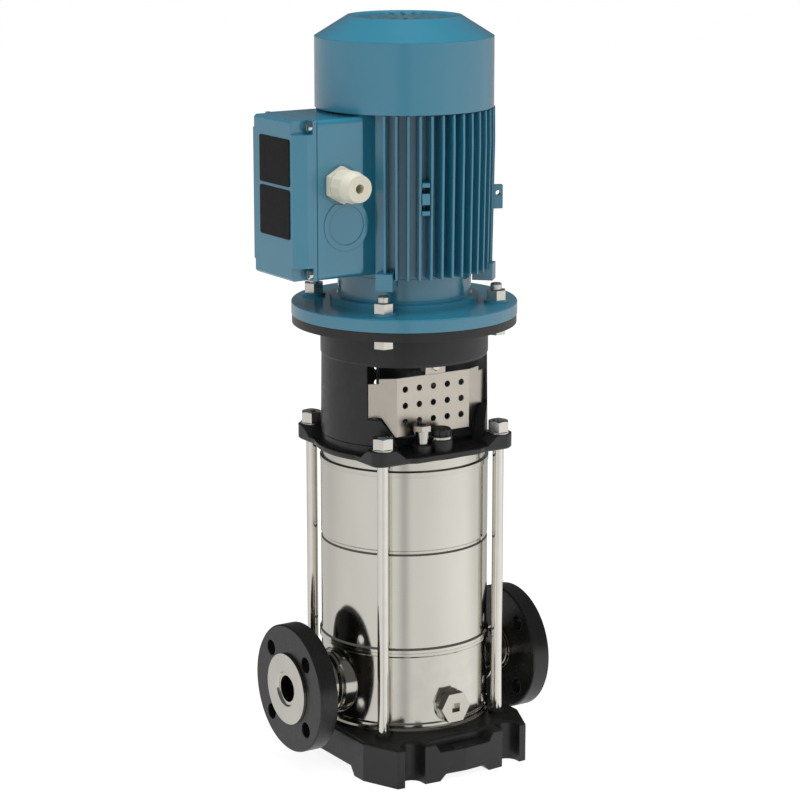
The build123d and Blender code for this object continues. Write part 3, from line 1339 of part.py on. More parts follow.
# ================================================================ ball bearings of the motor
bearing_levels = (bearing_low, bearing_high)
with BuildPart() as bearing_outer_rings:
    for level in bearing_levels:
        with BuildSketch(Plane.XZ):
            with Locations((BEARING_RADIUS - RACE_WALL / 2, level + BEARING_WIDTH / 2)):
                Rectangle(RACE_WALL, BEARING_WIDTH)
            with Locations((BALL_PITCH, level + BEARING_WIDTH / 2)):
                Circle(BALL_RADIUS + BALL_PLAY, mode=Mode.SUBTRACT)
        revolve(axis=Axis.Z)
bearing_outer_rings.part.label = "bearing_outer_rings"
export_step(bearing_outer_rings.part, "parts/bearing_outer_rings.step")

with BuildPart() as bearing_inner_rings:
    for level in bearing_levels:
        with BuildSketch(Plane.XZ):
            with Locations((BEARING_BORE + RACE_WALL / 2, level + BEARING_WIDTH / 2)):
                Rectangle(RACE_WALL, BEARING_WIDTH)
            with Locations((BALL_PITCH, level + BEARING_WIDTH / 2)):
                Circle(BALL_RADIUS + BALL_PLAY, mode=Mode.SUBTRACT)
        revolve(axis=Axis.Z)
bearing_inner_rings.part.label = "bearing_inner_rings"
export_step(bearing_inner_rings.part, "parts/bearing_inner_rings.step")

with BuildPart() as bearing_balls:
    for level in bearing_levels:
        with Locations((0, 0, level + BEARING_WIDTH / 2)):
            with PolarLocations(BALL_PITCH, BALLS):
                Sphere(BALL_RADIUS)
bearing_balls.part.label = "bearing_balls"
export_step(bearing_balls.part, "parts/bearing_balls.step")

with BuildPart() as bearing_cages:
    for level in bearing_levels:
        with BuildSketch(Plane.XY.offset(level + (BEARING_WIDTH - CAGE_WIDTH) / 2)):
            Circle(BALL_PITCH + CAGE_THICKNESS / 2)
            Circle(BALL_PITCH - CAGE_THICKNESS / 2, mode=Mode.SUBTRACT)
        extrude(amount=CAGE_WIDTH)
        with Locations((0, 0, level + BEARING_WIDTH / 2)):
            with PolarLocations(BALL_PITCH, BALLS):
                Cylinder(
                    BALL_RADIUS + BALL_PLAY,
                    3 * CAGE_THICKNESS,
                    rotation=(0, 90, 0),
                    mode=Mode.SUBTRACT,
                )
bearing_cages.part.label = "bearing_cages"
export_step(bearing_cages.part, "parts/bearing_cages.step")

# ================================================================ motor shaft and rotor
with BuildPart() as motor_shaft:
    with BuildSketch(Plane.XZ):
        with BuildLine():
            seat_radius = BEARING_BORE - SEAT / 2
            low_shoulder = bearing_low + BEARING_WIDTH
            fan_top = cover_bottom + FAN_START + FAN_HEIGHT
            Polyline(
                (0, motor_shaft_bottom),
                (MOTOR_SHAFT_RADIUS - 1, motor_shaft_bottom),
                (MOTOR_SHAFT_RADIUS, motor_shaft_bottom + 1),
                (MOTOR_SHAFT_RADIUS, bearing_low - 4),
                (seat_radius, bearing_low - 4),
                (seat_radius, low_shoulder),
                (BEARING_BORE + 2, low_shoulder),
                (BEARING_BORE + 2, low_shoulder + 6),
                (ROTOR_SHAFT_RADIUS, low_shoulder + 6),
                (ROTOR_SHAFT_RADIUS, core_top + END_RING + 2),
                (BEARING_BORE + 2, core_top + END_RING + 2),
                (BEARING_BORE + 2, bearing_high),
                (seat_radius, bearing_high),
                (seat_radius, bearing_high + BEARING_WIDTH + 1),
                (FAN_SHAFT_RADIUS, bearing_high + BEARING_WIDTH + 1),
                (FAN_SHAFT_RADIUS, fan_top),
                (0, fan_top),
                close=True,
            )
        make_face()
    revolve(axis=Axis.Z)
motor_shaft.part.label = "motor_shaft"
export_step(motor_shaft.part, "parts/motor_shaft.step")

with BuildPart() as rotor_core:
    with BuildSketch(Plane.XZ):
        with BuildLine():
            Polyline(
                (ROTOR_SHAFT_RADIUS + SEAT / 2, core_bottom),
                (20, core_bottom),
                (20, core_bottom - END_RING),
                (STATOR_BORE - AIR - 1.5, core_bottom - END_RING),
                (STATOR_BORE - AIR - 1.5, core_bottom),
                (STATOR_BORE - AIR, core_bottom),
                (STATOR_BORE - AIR, core_top),
                (STATOR_BORE - AIR - 1.5, core_top),
                (STATOR_BORE - AIR - 1.5, core_top + END_RING),
                (20, core_top + END_RING),
                (20, core_top),
                (ROTOR_SHAFT_RADIUS + SEAT / 2, core_top),
                close=True,
            )
        make_face()
    revolve(axis=Axis.Z)
rotor_core.part.label = "rotor_core"
export_step(rotor_core.part, "parts/rotor_core.step")

# ================================================================ stator
slot_middle = STATOR_BORE + 2 + SLOT_DEPTH / 2
with BuildPart() as stator_core:
    with BuildSketch(Plane.XY.offset(core_bottom)):
        Circle(FRAME_BORE - SEAT)
        Circle(STATOR_BORE, mode=Mode.SUBTRACT)
        with PolarLocations(slot_middle, SLOTS):
            Rectangle(SLOT_DEPTH, SLOT_WIDTH, mode=Mode.SUBTRACT)
        with PolarLocations(STATOR_BORE + 1, SLOTS):
            Rectangle(4, SLOT_WIDTH / 2.5, mode=Mode.SUBTRACT)
    extrude(amount=CORE_LENGTH)
stator_core.part.label = "stator_core"
export_step(stator_core.part, "parts/stator_core.step")

with BuildPart() as stator_windings:
    with BuildSketch(Plane.XY.offset(core_bottom - 2)):
        with PolarLocations(slot_middle, SLOTS):
            Rectangle(SLOT_DEPTH - 1, SLOT_WIDTH - 0.6)
    extrude(amount=CORE_LENGTH + 4)
    with BuildSketch(Plane.XZ):
        for middle_level in (
            core_bottom - 1 - WINDING_OVERHANG / 2,
            core_top + 1 + WINDING_OVERHANG / 2,
        ):
            with Locations((slot_middle, middle_level)):
                RectangleRounded(SLOT_DEPTH + 3, WINDING_OVERHANG, 4)
    revolve(axis=Axis.Z)
stator_windings.part.label = "stator_windings"
export_step(stator_windings.part, "parts/stator_windings.step")

# ================================================================ finned motor frame
with BuildPart() as motor_frame:
    with BuildSketch(Plane.XY.offset(frame_bottom)):
        Circle(FRAME_ROOT)
    extrude(amount=FRAME_LENGTH)
    # cooling fins, left out behind the terminal box
    fins_each_side = int(FIN_LAST / FIN_STEP)
    for index in range(-fins_each_side, fins_each_side + 1):
        fin_plane = Plane.XZ.rotated((0, 0, index * FIN_STEP))
        with BuildSketch(fin_plane):
            with BuildLine():
                Polyline(
                    (FRAME_ROOT - 1, frame_bottom - FIN_DROP),
                    (FIN_FOOT, frame_bottom - FIN_DROP),
                    (FIN_TIP, frame_bottom + FIN_CROWN),
                    (FIN_TIP - 0.3, frame_top),
                    (FRAME_ROOT - 1, frame_top),
                    close=True,
                )
            make_face()
        extrude(amount=FIN_THICKNESS / 2, both=True)
    # ears under the fins, above the flange bolts
    with BuildSketch(Plane.XY.offset(frame_bottom - EAR_LENGTH)):
        ear_length = EAR_REACH - SHIELD_RIM_RADIUS - AIR
        with PolarLocations(SHIELD_RIM_RADIUS + AIR, 4, start_angle=45):
            Rectangle(ear_length, EAR_WIDTH, align=(Align.MIN, Align.CENTER))
    extrude(amount=EAR_LENGTH + 4)
    # flat seat of the terminal box
    with Locations((-BOX_SEAT, 0, frame_bottom + BOX_START)):
        Box(
            BOX_SEAT - FRAME_BORE + 12,
            2 * (BOX_HALF - BOX_WALL) - 1,
            FRAME_LENGTH - BOX_START,
            align=(Align.MIN, Align.CENTER, Align.MIN),
        )
    # lifting lug on the right, bored across
    lug_plane = Plane.XZ.rotated((0, 0, -20))
    with BuildSketch(lug_plane):
        with Locations(((FRAME_ROOT + 88.5) / 2, frame_bottom + 57)):
            Rectangle(88.5 - FRAME_ROOT, 21)
        with Locations((84.3, frame_bottom + 60.5)):
            Circle(2.3, mode=Mode.SUBTRACT)
    extrude(amount=3, both=True)
    # earthing boss between two fins at the front
    for level, height in ((56.5, 3.6), (68.5, 9.5), (80.5, 3.6)):
        with BuildSketch(Plane.XZ.rotated((0, 0, -109))):
            with Locations((FRAME_ROOT + 8, frame_bottom + level)):
                Rectangle(16, height)
        extrude(amount=3.4, both=True)
    with Locations((0, 0, frame_bottom - EAR_LENGTH)):
        Cylinder(
            FRAME_BORE,
            2 * FRAME_LENGTH,
            align=(Align.CENTER, Align.CENTER, Align.MIN),
            mode=Mode.SUBTRACT,
        )
    # opening for the winding leads
    with Locations((-BOX_SEAT, 0, frame_bottom + BOX_START + BOX_HEIGHT / 2)):
        Cylinder(8, 30, rotation=(0, 90, 0), mode=Mode.SUBTRACT)
motor_frame.part.label = "motor_frame"
export_step(motor_frame.part, "parts/motor_frame.step")

# ================================================================ fan-end shield, fan and cover
with BuildPart() as fan_end_shield:
    with BuildSketch(Plane.XZ):
        with BuildLine():
            race_top = bearing_high + BEARING_WIDTH
            Polyline(
                (BEARING_RADIUS + SEAT, bearing_high),
                (BEARING_HUB, bearing_high),
                (BEARING_HUB, frame_top - 4),
                (FRAME_BORE - SEAT - 4, frame_top - 6),
                (FRAME_BORE - SEAT, frame_top - 6),
                (FRAME_BORE - SEAT, frame_top),
                (FRAME_ROOT, frame_top),
                (FRAME_ROOT, frame_top + 4),
                (BEARING_HUB, race_top + 6),
                (BEARING_BORE + 2, race_top + 6),
                (BEARING_BORE + 2, race_top),
                (BEARING_RADIUS + SEAT, race_top),
                close=True,
            )
        make_face()
    revolve(axis=Axis.Z)
    # arms that the fan cover is clipped to
    with BuildSketch(Plane.XY.offset(cover_bottom + ARM_LIFT)):
        arm_end = COVER_RADIUS - COVER_SHEET - SEAT
        with PolarLocations(FRAME_ROOT - 3, 4, start_angle=45):
            Rectangle(arm_end - FRAME_ROOT + 3, 12, align=(Align.MIN, Align.CENTER))
        Circle(arm_end, mode=Mode.INTERSECT)
    extrude(amount=ARM_HEIGHT)
fan_end_shield.part.label = "fan_end_shield"
export_step(fan_end_shield.part, "parts/fan_end_shield.step")

with BuildPart() as fan:
    fan_bottom = cover_bottom + FAN_START
    with BuildSketch(Plane.XY.offset(fan_bottom)):
        Circle(FAN_RADIUS - 4)
    extrude(amount=1.8)
    with BuildSketch(Plane.XY.offset(fan_bottom)):
        Circle(FAN_SHAFT_RADIUS + 6)
    extrude(amount=FAN_HEIGHT - 4)
    with BuildSketch(Plane.XY.offset(fan_bottom + 0.9)):
        with PolarLocations(FAN_SHAFT_RADIUS + 5, FAN_BLADES):
            blade_length = FAN_RADIUS - FAN_SHAFT_RADIUS - 6
            Rectangle(blade_length, 1.8, align=(Align.MIN, Align.CENTER))
    extrude(amount=FAN_HEIGHT - 2)
    with Locations((0, 0, fan_bottom)):
        Cylinder(FAN_SHAFT_RADIUS + SEAT / 2, 3 * FAN_HEIGHT, mode=Mode.SUBTRACT)
fan.part.label = "fan"
export_step(fan.part, "parts/fan.step")

with BuildPart() as fan_cover:
    with BuildSketch(Plane.XZ):
        with BuildLine():
            cone_bottom = cover_bottom + COVER_SKIRT
            inner = COVER_RADIUS - COVER_SHEET
            arm_top = cover_bottom + ARM_LIFT + ARM_HEIGHT
            Polyline(
                (inner, cover_bottom),
                (COVER_RADIUS, cover_bottom),
                (COVER_RADIUS, cone_bottom),
                (COVER_TOP_RADIUS, cover_top),
                (GRILLE_RADIUS + GRILLE_DROP, cover_top),
                (GRILLE_RADIUS, cover_top - GRILLE_DROP),
                (0, cover_top - GRILLE_DROP),
                (0, cover_top - GRILLE_DROP - COVER_SHEET),
                (COVER_TOP_RADIUS - 2, cover_top - GRILLE_DROP - COVER_SHEET),
                (inner, cone_bottom - 0.8),
                (inner, arm_top + 1.2),
                (inner - 1.2, arm_top),
                (inner, arm_top),
                close=True,
            )
        make_face()
    revolve(axis=Axis.Z)
    # air intake: two rings of radial slots
    with BuildSketch(Plane.XY.offset(cover_top - GRILLE_DROP - 2 * COVER_SHEET)):
        with PolarLocations(20, 12):
            SlotOverall(13, 3.2)
        with PolarLocations(37.5, 24):
            SlotOverall(15, 4.2)
    extrude(amount=3 * COVER_SHEET, mode=Mode.SUBTRACT)
fan_cover.part.label = "fan_cover"
export_step(fan_cover.part, "parts/fan_cover.step")

# ================================================================ terminal box
box_bottom = frame_bottom + BOX_START
box_middle = box_bottom + BOX_HEIGHT / 2
box_mouth = BOX_SEAT + BOX_DEPTH
gland_level = box_bottom + GLAND_ABOVE
knockout_level = box_bottom + KNOCKOUT_ABOVE
side_plane = Plane(origin=(0, -BOX_HALF, 0), x_dir=(1, 0, 0), z_dir=(0, -1, 0))
box_plane = Plane(origin=(-BOX_SEAT, 0, box_middle), x_dir=(0, 1, 0), z_dir=(-1, 0, 0))
post_y = BOX_HALF - BOX_WALL - 1.5
post_z = BOX_HEIGHT / 2 - BOX_WALL - 2.5
with BuildPart() as terminal_box:
    with BuildSketch(box_plane):
        RectangleRounded(2 * BOX_HALF, BOX_HEIGHT, BOX_CORNER)
    extrude(amount=BOX_DEPTH)
    with BuildSketch(box_plane.offset(BOX_WALL)):
        RectangleRounded(2 * (BOX_HALF - BOX_WALL), BOX_HEIGHT - 2 * BOX_WALL, BOX_CORNER - 1)
    extrude(amount=BOX_DEPTH, mode=Mode.SUBTRACT)
    # corner posts for the lid screws
    with BuildSketch(box_plane.offset(BOX_WALL - 1)):
        with GridLocations(2 * post_y, 2 * post_z, 2, 2):
            Circle(POST_RADIUS)
    extrude(amount=BOX_DEPTH - BOX_WALL + 1)
    with BuildSketch(box_plane.offset(BOX_DEPTH)):
        with GridLocations(2 * post_y, 2 * post_z, 2, 2):
            Circle(LID_SCREW_RADIUS + SEAT)
    extrude(amount=-12, mode=Mode.SUBTRACT)
    # knock-out boss below the gland
    with BuildSketch(side_plane):
        with Locations((-KNOCKOUT_X, knockout_level)):
            Circle(KNOCKOUT_RADIUS)
    extrude(amount=0.8)
    with BuildSketch(side_plane):
        with Locations((-KNOCKOUT_X, knockout_level)):
            Circle(KNOCKOUT_RADIUS)
    extrude(amount=-BOX_WALL)
    with BuildSketch(side_plane):
        with Locations((-KNOCKOUT_X, knockout_level)):
            Circle(KNOCKOUT_RADIUS - KNOCKOUT_RIM)
    extrude(amount=2, mode=Mode.SUBTRACT)
    # recess and threaded hole of the cable gland
    with BuildSketch(side_plane):
        with Locations((-GLAND_X, gland_level)):
            Circle(GLAND_RECESS_RADIUS)
    extrude(amount=GLAND_RECESS, both=True, mode=Mode.SUBTRACT)
    with BuildSketch(side_plane):
        with Locations((-GLAND_X, gland_level)):
            Circle(GLAND_THREAD_RADIUS + SEAT)
    extrude(amount=2 * BOX_WALL, both=True, mode=Mode.SUBTRACT)
    # opening for the winding leads
    with BuildSketch(box_plane):
        Circle(8)
    extrude(amount=2 * BOX_WALL, both=True, mode=Mode.SUBTRACT)
terminal_box.part.label = "terminal_box"
export_step(terminal_box.part, "parts/terminal_box.step")

with BuildPart() as lid_gasket:
    with BuildSketch(box_plane.offset(BOX_DEPTH)):
        RectangleRounded(2 * BOX_HALF - 3, BOX_HEIGHT - 3, BOX_CORNER)
        RectangleRounded(2 * BOX_HALF - 16, BOX_HEIGHT - 18, BOX_CORNER, mode=Mode.SUBTRACT)
        with GridLocations(2 * post_y, 2 * post_z, 2, 2):
            Circle(LID_SCREW_RADIUS + FREE, mode=Mode.SUBTRACT)
    extrude(amount=GASKET)
lid_gasket.part.label = "lid_gasket"
export_step(lid_gasket.part, "parts/lid_gasket.step")

lid_plane = box_plane.offset(BOX_DEPTH + GASKET)
with BuildPart() as terminal_lid:
    lid_seat = box_mouth + GASKET
    with BuildSketch(Plane.XY.offset(box_bottom)):
        with BuildLine():
            Polyline(
                (-lid_seat, -BOX_HALF),
                (-lid_seat - LID_DEPTH + LID_SLOPE, -BOX_HALF),
                (-lid_seat - LID_DEPTH, -LID_FACE_HALF),
                (-lid_seat - LID_DEPTH, LID_FACE_HALF),
                (-lid_seat - LID_DEPTH + LID_SLOPE, BOX_HALF),
                (-lid_seat, BOX_HALF),
                close=True,
            )
        make_face()
    extrude(amount=BOX_HEIGHT)
    chamfer(terminal_lid.faces().sort_by(Axis.X)[0].edges(), LID_EDGE)
    # notched corners with ears for the screws
    with BuildSketch(lid_plane.offset(LID_EAR)):
        with GridLocations(2 * BOX_HALF - NOTCH_Y, BOX_HEIGHT - NOTCH_Z, 2, 2):
            Rectangle(NOTCH_Y, NOTCH_Z)
    extrude(amount=LID_DEPTH, mode=Mode.SUBTRACT)
    with BuildSketch(lid_plane):
        with GridLocations(2 * post_y, 2 * post_z, 2, 2):
            Circle(LID_SCREW_RADIUS + FREE)
    extrude(amount=LID_EAR, mode=Mode.SUBTRACT)
    # room inside
    with BuildSketch(lid_plane):
        RectangleRounded(2 * BOX_HALF - 26, BOX_HEIGHT - 28, BOX_CORNER)
    extrude(amount=LID_DEPTH - BOX_WALL, mode=Mode.SUBTRACT)
terminal_lid.part.label = "terminal_lid"
export_step(terminal_lid.part, "parts/terminal_lid.step")

with BuildPart() as rating_plates:
    with BuildSketch(lid_plane.offset(LID_DEPTH)):
        for height, above in zip(RATING_HEIGHTS, RATING_ABOVE):
            with Locations((RATING_SIDE, BOX_HEIGHT / 2 - above)):
                RectangleRounded(RATING_WIDTH, height, 2)
    extrude(amount=RATING_SHEET)
rating_plates.part.label = "rating_plates"
export_step(rating_plates.part, "parts/rating_plates.step")

with BuildPart() as lid_screws:
    with BuildSketch(lid_plane.offset(LID_EAR)):
        with GridLocations(2 * post_y, 2 * post_z, 2, 2):
            Circle(LID_SCREW_HEAD)
    extrude(amount=LID_SCREW_HEAD_HEIGHT)
    chamfer(lid_screws.edges().filter_by(GeomType.CIRCLE).group_by(Axis.X)[0], 0.9)
    with BuildSketch(lid_plane.offset(LID_EAR + LID_SCREW_HEAD_HEIGHT)):
        with GridLocations(2 * post_y, 2 * post_z, 2, 2):
            Rectangle(1.2, 3 * LID_SCREW_HEAD)
    extrude(amount=-1.3, mode=Mode.SUBTRACT)
    with BuildSketch(lid_plane.offset(LID_EAR)):
        with GridLocations(2 * post_y, 2 * post_z, 2, 2):
            Circle(LID_SCREW_RADIUS)
    extrude(amount=-LID_EAR - GASKET - 8)
lid_screws.part.label = "lid_screws"
export_step(lid_screws.part, "parts/lid_screws.step")

with BuildPart() as terminal_board:
    with BuildSketch(box_plane.offset(BOX_WALL)):
        with Locations((0, -12)):
            RectangleRounded(2 * BOARD_HALF, BOARD_HEIGHT, 2)
    extrude(amount=BOARD_THICKNESS)
    with BuildSketch(box_plane.offset(BOX_WALL)):
        Circle(9)
    extrude(amount=BOARD_THICKNESS, mode=Mode.SUBTRACT)
    with BuildSketch(box_plane.offset(BOX_WALL)):
        with Locations((0, -22)):
            with GridLocations(2 * BOARD_HALF - 12, 12, 2, 3):
                Circle(STUD_RADIUS + SEAT)
    extrude(amount=BOARD_THICKNESS, mode=Mode.SUBTRACT)
terminal_board.part.label = "terminal_board"
export_step(terminal_board.part, "parts/terminal_board.step")

with BuildPart() as terminal_studs:
    with BuildSketch(box_plane.offset(BOX_WALL)):
        with Locations((0, -22)):
            with GridLocations(2 * BOARD_HALF - 12, 12, 2, 3):
                Circle(STUD_RADIUS)
    extrude(amount=STUD_LENGTH)
    with BuildSketch(box_plane.offset(BOX_WALL + BOARD_THICKNESS)):
        with Locations((0, -22)):
            with GridLocations(2 * BOARD_HALF - 12, 12, 2, 3):
                RegularPolygon(4, 6, major_radius=False)
    extrude(amount=3.5)
terminal_studs.part.label = "terminal_studs"
export_step(terminal_studs.part, "parts/terminal_studs.step")

# ================================================================ cable gland
gland_plane = Plane(
    origin=(-GLAND_X, -BOX_HALF + GLAND_RECESS, gland_level),
    x_dir=(1, 0, 0),
    z_dir=(0, -1, 0),
)
with BuildPart() as gland_body:
    with BuildSketch(gland_plane):
        RegularPolygon(GLAND_FLATS / 2, 6, major_radius=False, rotation=30)
    extrude(amount=GLAND_HEX)
    with BuildSketch(gland_plane.offset(GLAND_HEX)):
        Circle(GLAND_NECK_RADIUS)
    extrude(amount=GLAND_NECK)
    with BuildSketch(gland_plane):
        Circle(GLAND_THREAD_RADIUS)
    extrude(amount=-BOX_WALL - 5)
    with BuildSketch(gland_plane):
        Circle(GLAND_BORE + 1)
    extrude(amount=2 * GLAND_LENGTH, both=True, mode=Mode.SUBTRACT)
gland_body.part.label = "gland_body"
export_step(gland_body.part, "parts/gland_body.step")

nut_plane = gland_plane.offset(GLAND_HEX + FREE)
nut_length = GLAND_LENGTH - GLAND_HEX - FREE
with BuildPart() as gland_nut:
    with BuildSketch(nut_plane):
        RegularPolygon(GLAND_NUT_RADIUS, 12)
    extrude(amount=nut_length * 0.55)
    with BuildSketch(nut_plane.offset(nut_length * 0.55)):
        Circle(GLAND_NUT_RADIUS - 0.4)
    with BuildSketch(nut_plane.offset(nut_length)):
        Circle(GLAND_NUT_END)
    loft()
    with BuildSketch(nut_plane):
        Circle(GLAND_NECK_RADIUS + SEAT)
    extrude(amount=GLAND_NECK, mode=Mode.SUBTRACT)
    with BuildSketch(nut_plane):
        Circle(GLAND_BORE)
    extrude(amount=2 * GLAND_LENGTH, mode=Mode.SUBTRACT)
gland_nut.part.label = "gland_nut"
export_step(gland_nut.part, "parts/gland_nut.step")
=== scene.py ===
"""Vertical multistage pump: finishes of its pieces, studio floor, light and camera."""

import json
import math

import bmesh
import bpy
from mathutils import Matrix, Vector

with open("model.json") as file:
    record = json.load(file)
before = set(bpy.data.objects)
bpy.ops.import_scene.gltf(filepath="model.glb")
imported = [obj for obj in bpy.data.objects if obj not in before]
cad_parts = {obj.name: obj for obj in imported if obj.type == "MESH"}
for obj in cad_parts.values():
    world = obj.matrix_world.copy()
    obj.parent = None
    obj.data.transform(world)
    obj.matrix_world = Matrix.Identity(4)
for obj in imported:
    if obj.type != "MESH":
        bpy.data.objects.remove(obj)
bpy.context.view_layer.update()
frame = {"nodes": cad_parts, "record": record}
nodes = frame["nodes"]


# ------------------------------------------------------------------ finishes
BARE = 1.0  # metallic share of bare metal
COATED = 0.0  # of paint, enamel and plastic
BEVEL_SAMPLES = 6


class Finish:
    """A named finish: one Principled shader with its own node tree on object coordinates."""

    def __init__(self, name, colour, metal, rough):
        self.material = bpy.data.materials.new(name)
        self.material.use_nodes = True
        self.tree = self.material.node_tree
        self.shader = self.tree.nodes["Principled BSDF"]
        self.shader.inputs["Base Color"].default_value = (*colour, 1.0)
        self.shader.inputs["Metallic"].default_value = metal
        self.shader.inputs["Roughness"].default_value = rough
        self.place = self.tree.nodes.new("ShaderNodeTexCoord").outputs["Object"]
        self.surface = None

    def link(self, source, target):
        self.tree.links.new(source, target)

    def noise(self, scale, detail=4.0, stretch=(1.0, 1.0, 1.0)):
        """Noise with scale per metre, drawn out along the axes by stretch."""
        mapping = self.tree.nodes.new("ShaderNodeMapping")
        mapping.inputs["Scale"].default_value = stretch
        self.link(self.place, mapping.inputs["Vector"])
        texture = self.tree.nodes.new("ShaderNodeTexNoise")
        texture.inputs["Scale"].default_value = scale
        texture.inputs["Detail"].default_value = detail
        self.link(mapping.outputs["Vector"], texture.inputs["Vector"])
        return texture.outputs["Fac"]

    def spread(self, source, low, high, start=0.3, end=0.7):
        """Maps a 0 to 1 pattern to the range low to high."""
        node = self.tree.nodes.new("ShaderNodeMapRange")
        node.inputs["From Min"].default_value = start
        node.inputs["From Max"].default_value = end
        node.inputs["To Min"].default_value = low
        node.inputs["To Max"].default_value = high
        self.link(source, node.inputs["Value"])
        return node.outputs["Result"]

    def tint(self, source, first, second, start=0.3, end=0.7):
        """Colour that goes from first to second over a pattern."""
        ramp = self.tree.nodes.new("ShaderNodeValToRGB")
        ramp.color_ramp.elements[0].position = start
        ramp.color_ramp.elements[0].color = (*first, 1.0)
        ramp.color_ramp.elements[1].position = end
        ramp.color_ramp.elements[1].color = (*second, 1.0)
        self.link(source, ramp.inputs["Fac"])
        self.link(ramp.outputs["Color"], self.shader.inputs["Base Color"])

    def roughness(self, source, low, high):
        self.link(self.spread(source, low, high), self.shader.inputs["Roughness"])

    def round_edges(self, radius):
        """Edges that catch the light as if they had this radius."""
        bevel = self.tree.nodes.new("ShaderNodeBevel")
        bevel.samples = BEVEL_SAMPLES
        bevel.inputs["Radius"].default_value = radius
        self.surface = bevel.outputs["Normal"]
        self.link(self.surface, self.shader.inputs["Normal"])

    def relief(self, source, depth):
        """Raised and sunk grain of the given depth in metres, over the rounded edges."""
        bump = self.tree.nodes.new("ShaderNodeBump")
        bump.inputs["Strength"].default_value = 1.0
        bump.inputs["Distance"].default_value = depth
        self.link(source, bump.inputs["Height"])
        self.link(self.surface, bump.inputs["Normal"])
        self.surface = bump.outputs["Normal"]
        self.link(self.surface, self.shader.inputs["Normal"])


def cast_iron_paint(name, first, second, rough, grain, edge=0.0012):
    """Satin paint over a sand casting: slow colour drift and cast grain."""
    finish = Finish(name, first, COATED, rough)
    finish.round_edges(edge)
    finish.tint(finish.noise(scale=38.0, detail=3.0), first, second)
    finish.roughness(finish.noise(scale=210.0, detail=3.0), rough - 0.04, rough + 0.06)
    finish.relief(finish.noise(scale=950.0, detail=3.0), grain)
    return finish.material


def motor_enamel(name, first, second, rough):
    """Sprayed teal enamel: a hard gloss coat with the faintest orange peel."""
    finish = Finish(name, first, COATED, rough)
    finish.round_edges(radius=0.0008)
    finish.tint(finish.noise(scale=14.0, detail=2.0), first, second)
    finish.roughness(finish.noise(scale=90.0, detail=2.0), rough - 0.03, rough + 0.03)
    finish.relief(finish.noise(scale=420.0, detail=2.0), depth=0.000003)
    finish.shader.inputs["Specular IOR Level"].default_value = 0.85
    finish.shader.inputs["Coat Weight"].default_value = 0.6
    finish.shader.inputs["Coat Roughness"].default_value = 0.12
    return finish.material


def polished_sheet(name, first, second, rough):
    """Stainless sheet polished round the shaft: fine lines that run round the sleeve."""
    finish = Finish(name, first, BARE, rough)
    finish.round_edges(radius=0.0005)
    finish.tint(finish.noise(scale=22.0, detail=2.0, stretch=(1.0, 1.0, 0.4)), first, second)
    lines = finish.noise(scale=60.0, detail=5.0, stretch=(0.3, 0.3, 34.0))
    finish.roughness(lines, rough - 0.02, rough + 0.03)
    finish.relief(lines, depth=0.000002)
    return finish.material


def turned_metal(name, first, second, rough, grain=0.000004):
    """Bare metal with a fine even grain and faint handling marks."""
    finish = Finish(name, first, BARE, rough)
    finish.round_edges(radius=0.0004)
    finish.tint(finish.noise(scale=70.0, detail=3.0), first, second)
    finish.roughness(finish.noise(scale=420.0, detail=4.0), rough - 0.02, rough + 0.03)
    finish.relief(finish.noise(scale=840.0, detail=2.0), grain)
    return finish.material


def moulded_plastic(name, first, second, rough, grain=0.00003, gloss=0.5):
    """Moulded plastic or rubber with a fine spark-eroded grain."""
    finish = Finish(name, first, COATED, rough)
    finish.shader.inputs["Specular IOR Level"].default_value = gloss
    finish.round_edges(radius=0.0005)
    finish.tint(finish.noise(scale=60.0, detail=2.0), first, second)
    finish.roughness(finish.noise(scale=300.0, detail=3.0), rough - 0.05, rough + 0.07)
    finish.relief(finish.noise(scale=1500.0, detail=2.0), grain)
    return finish.material


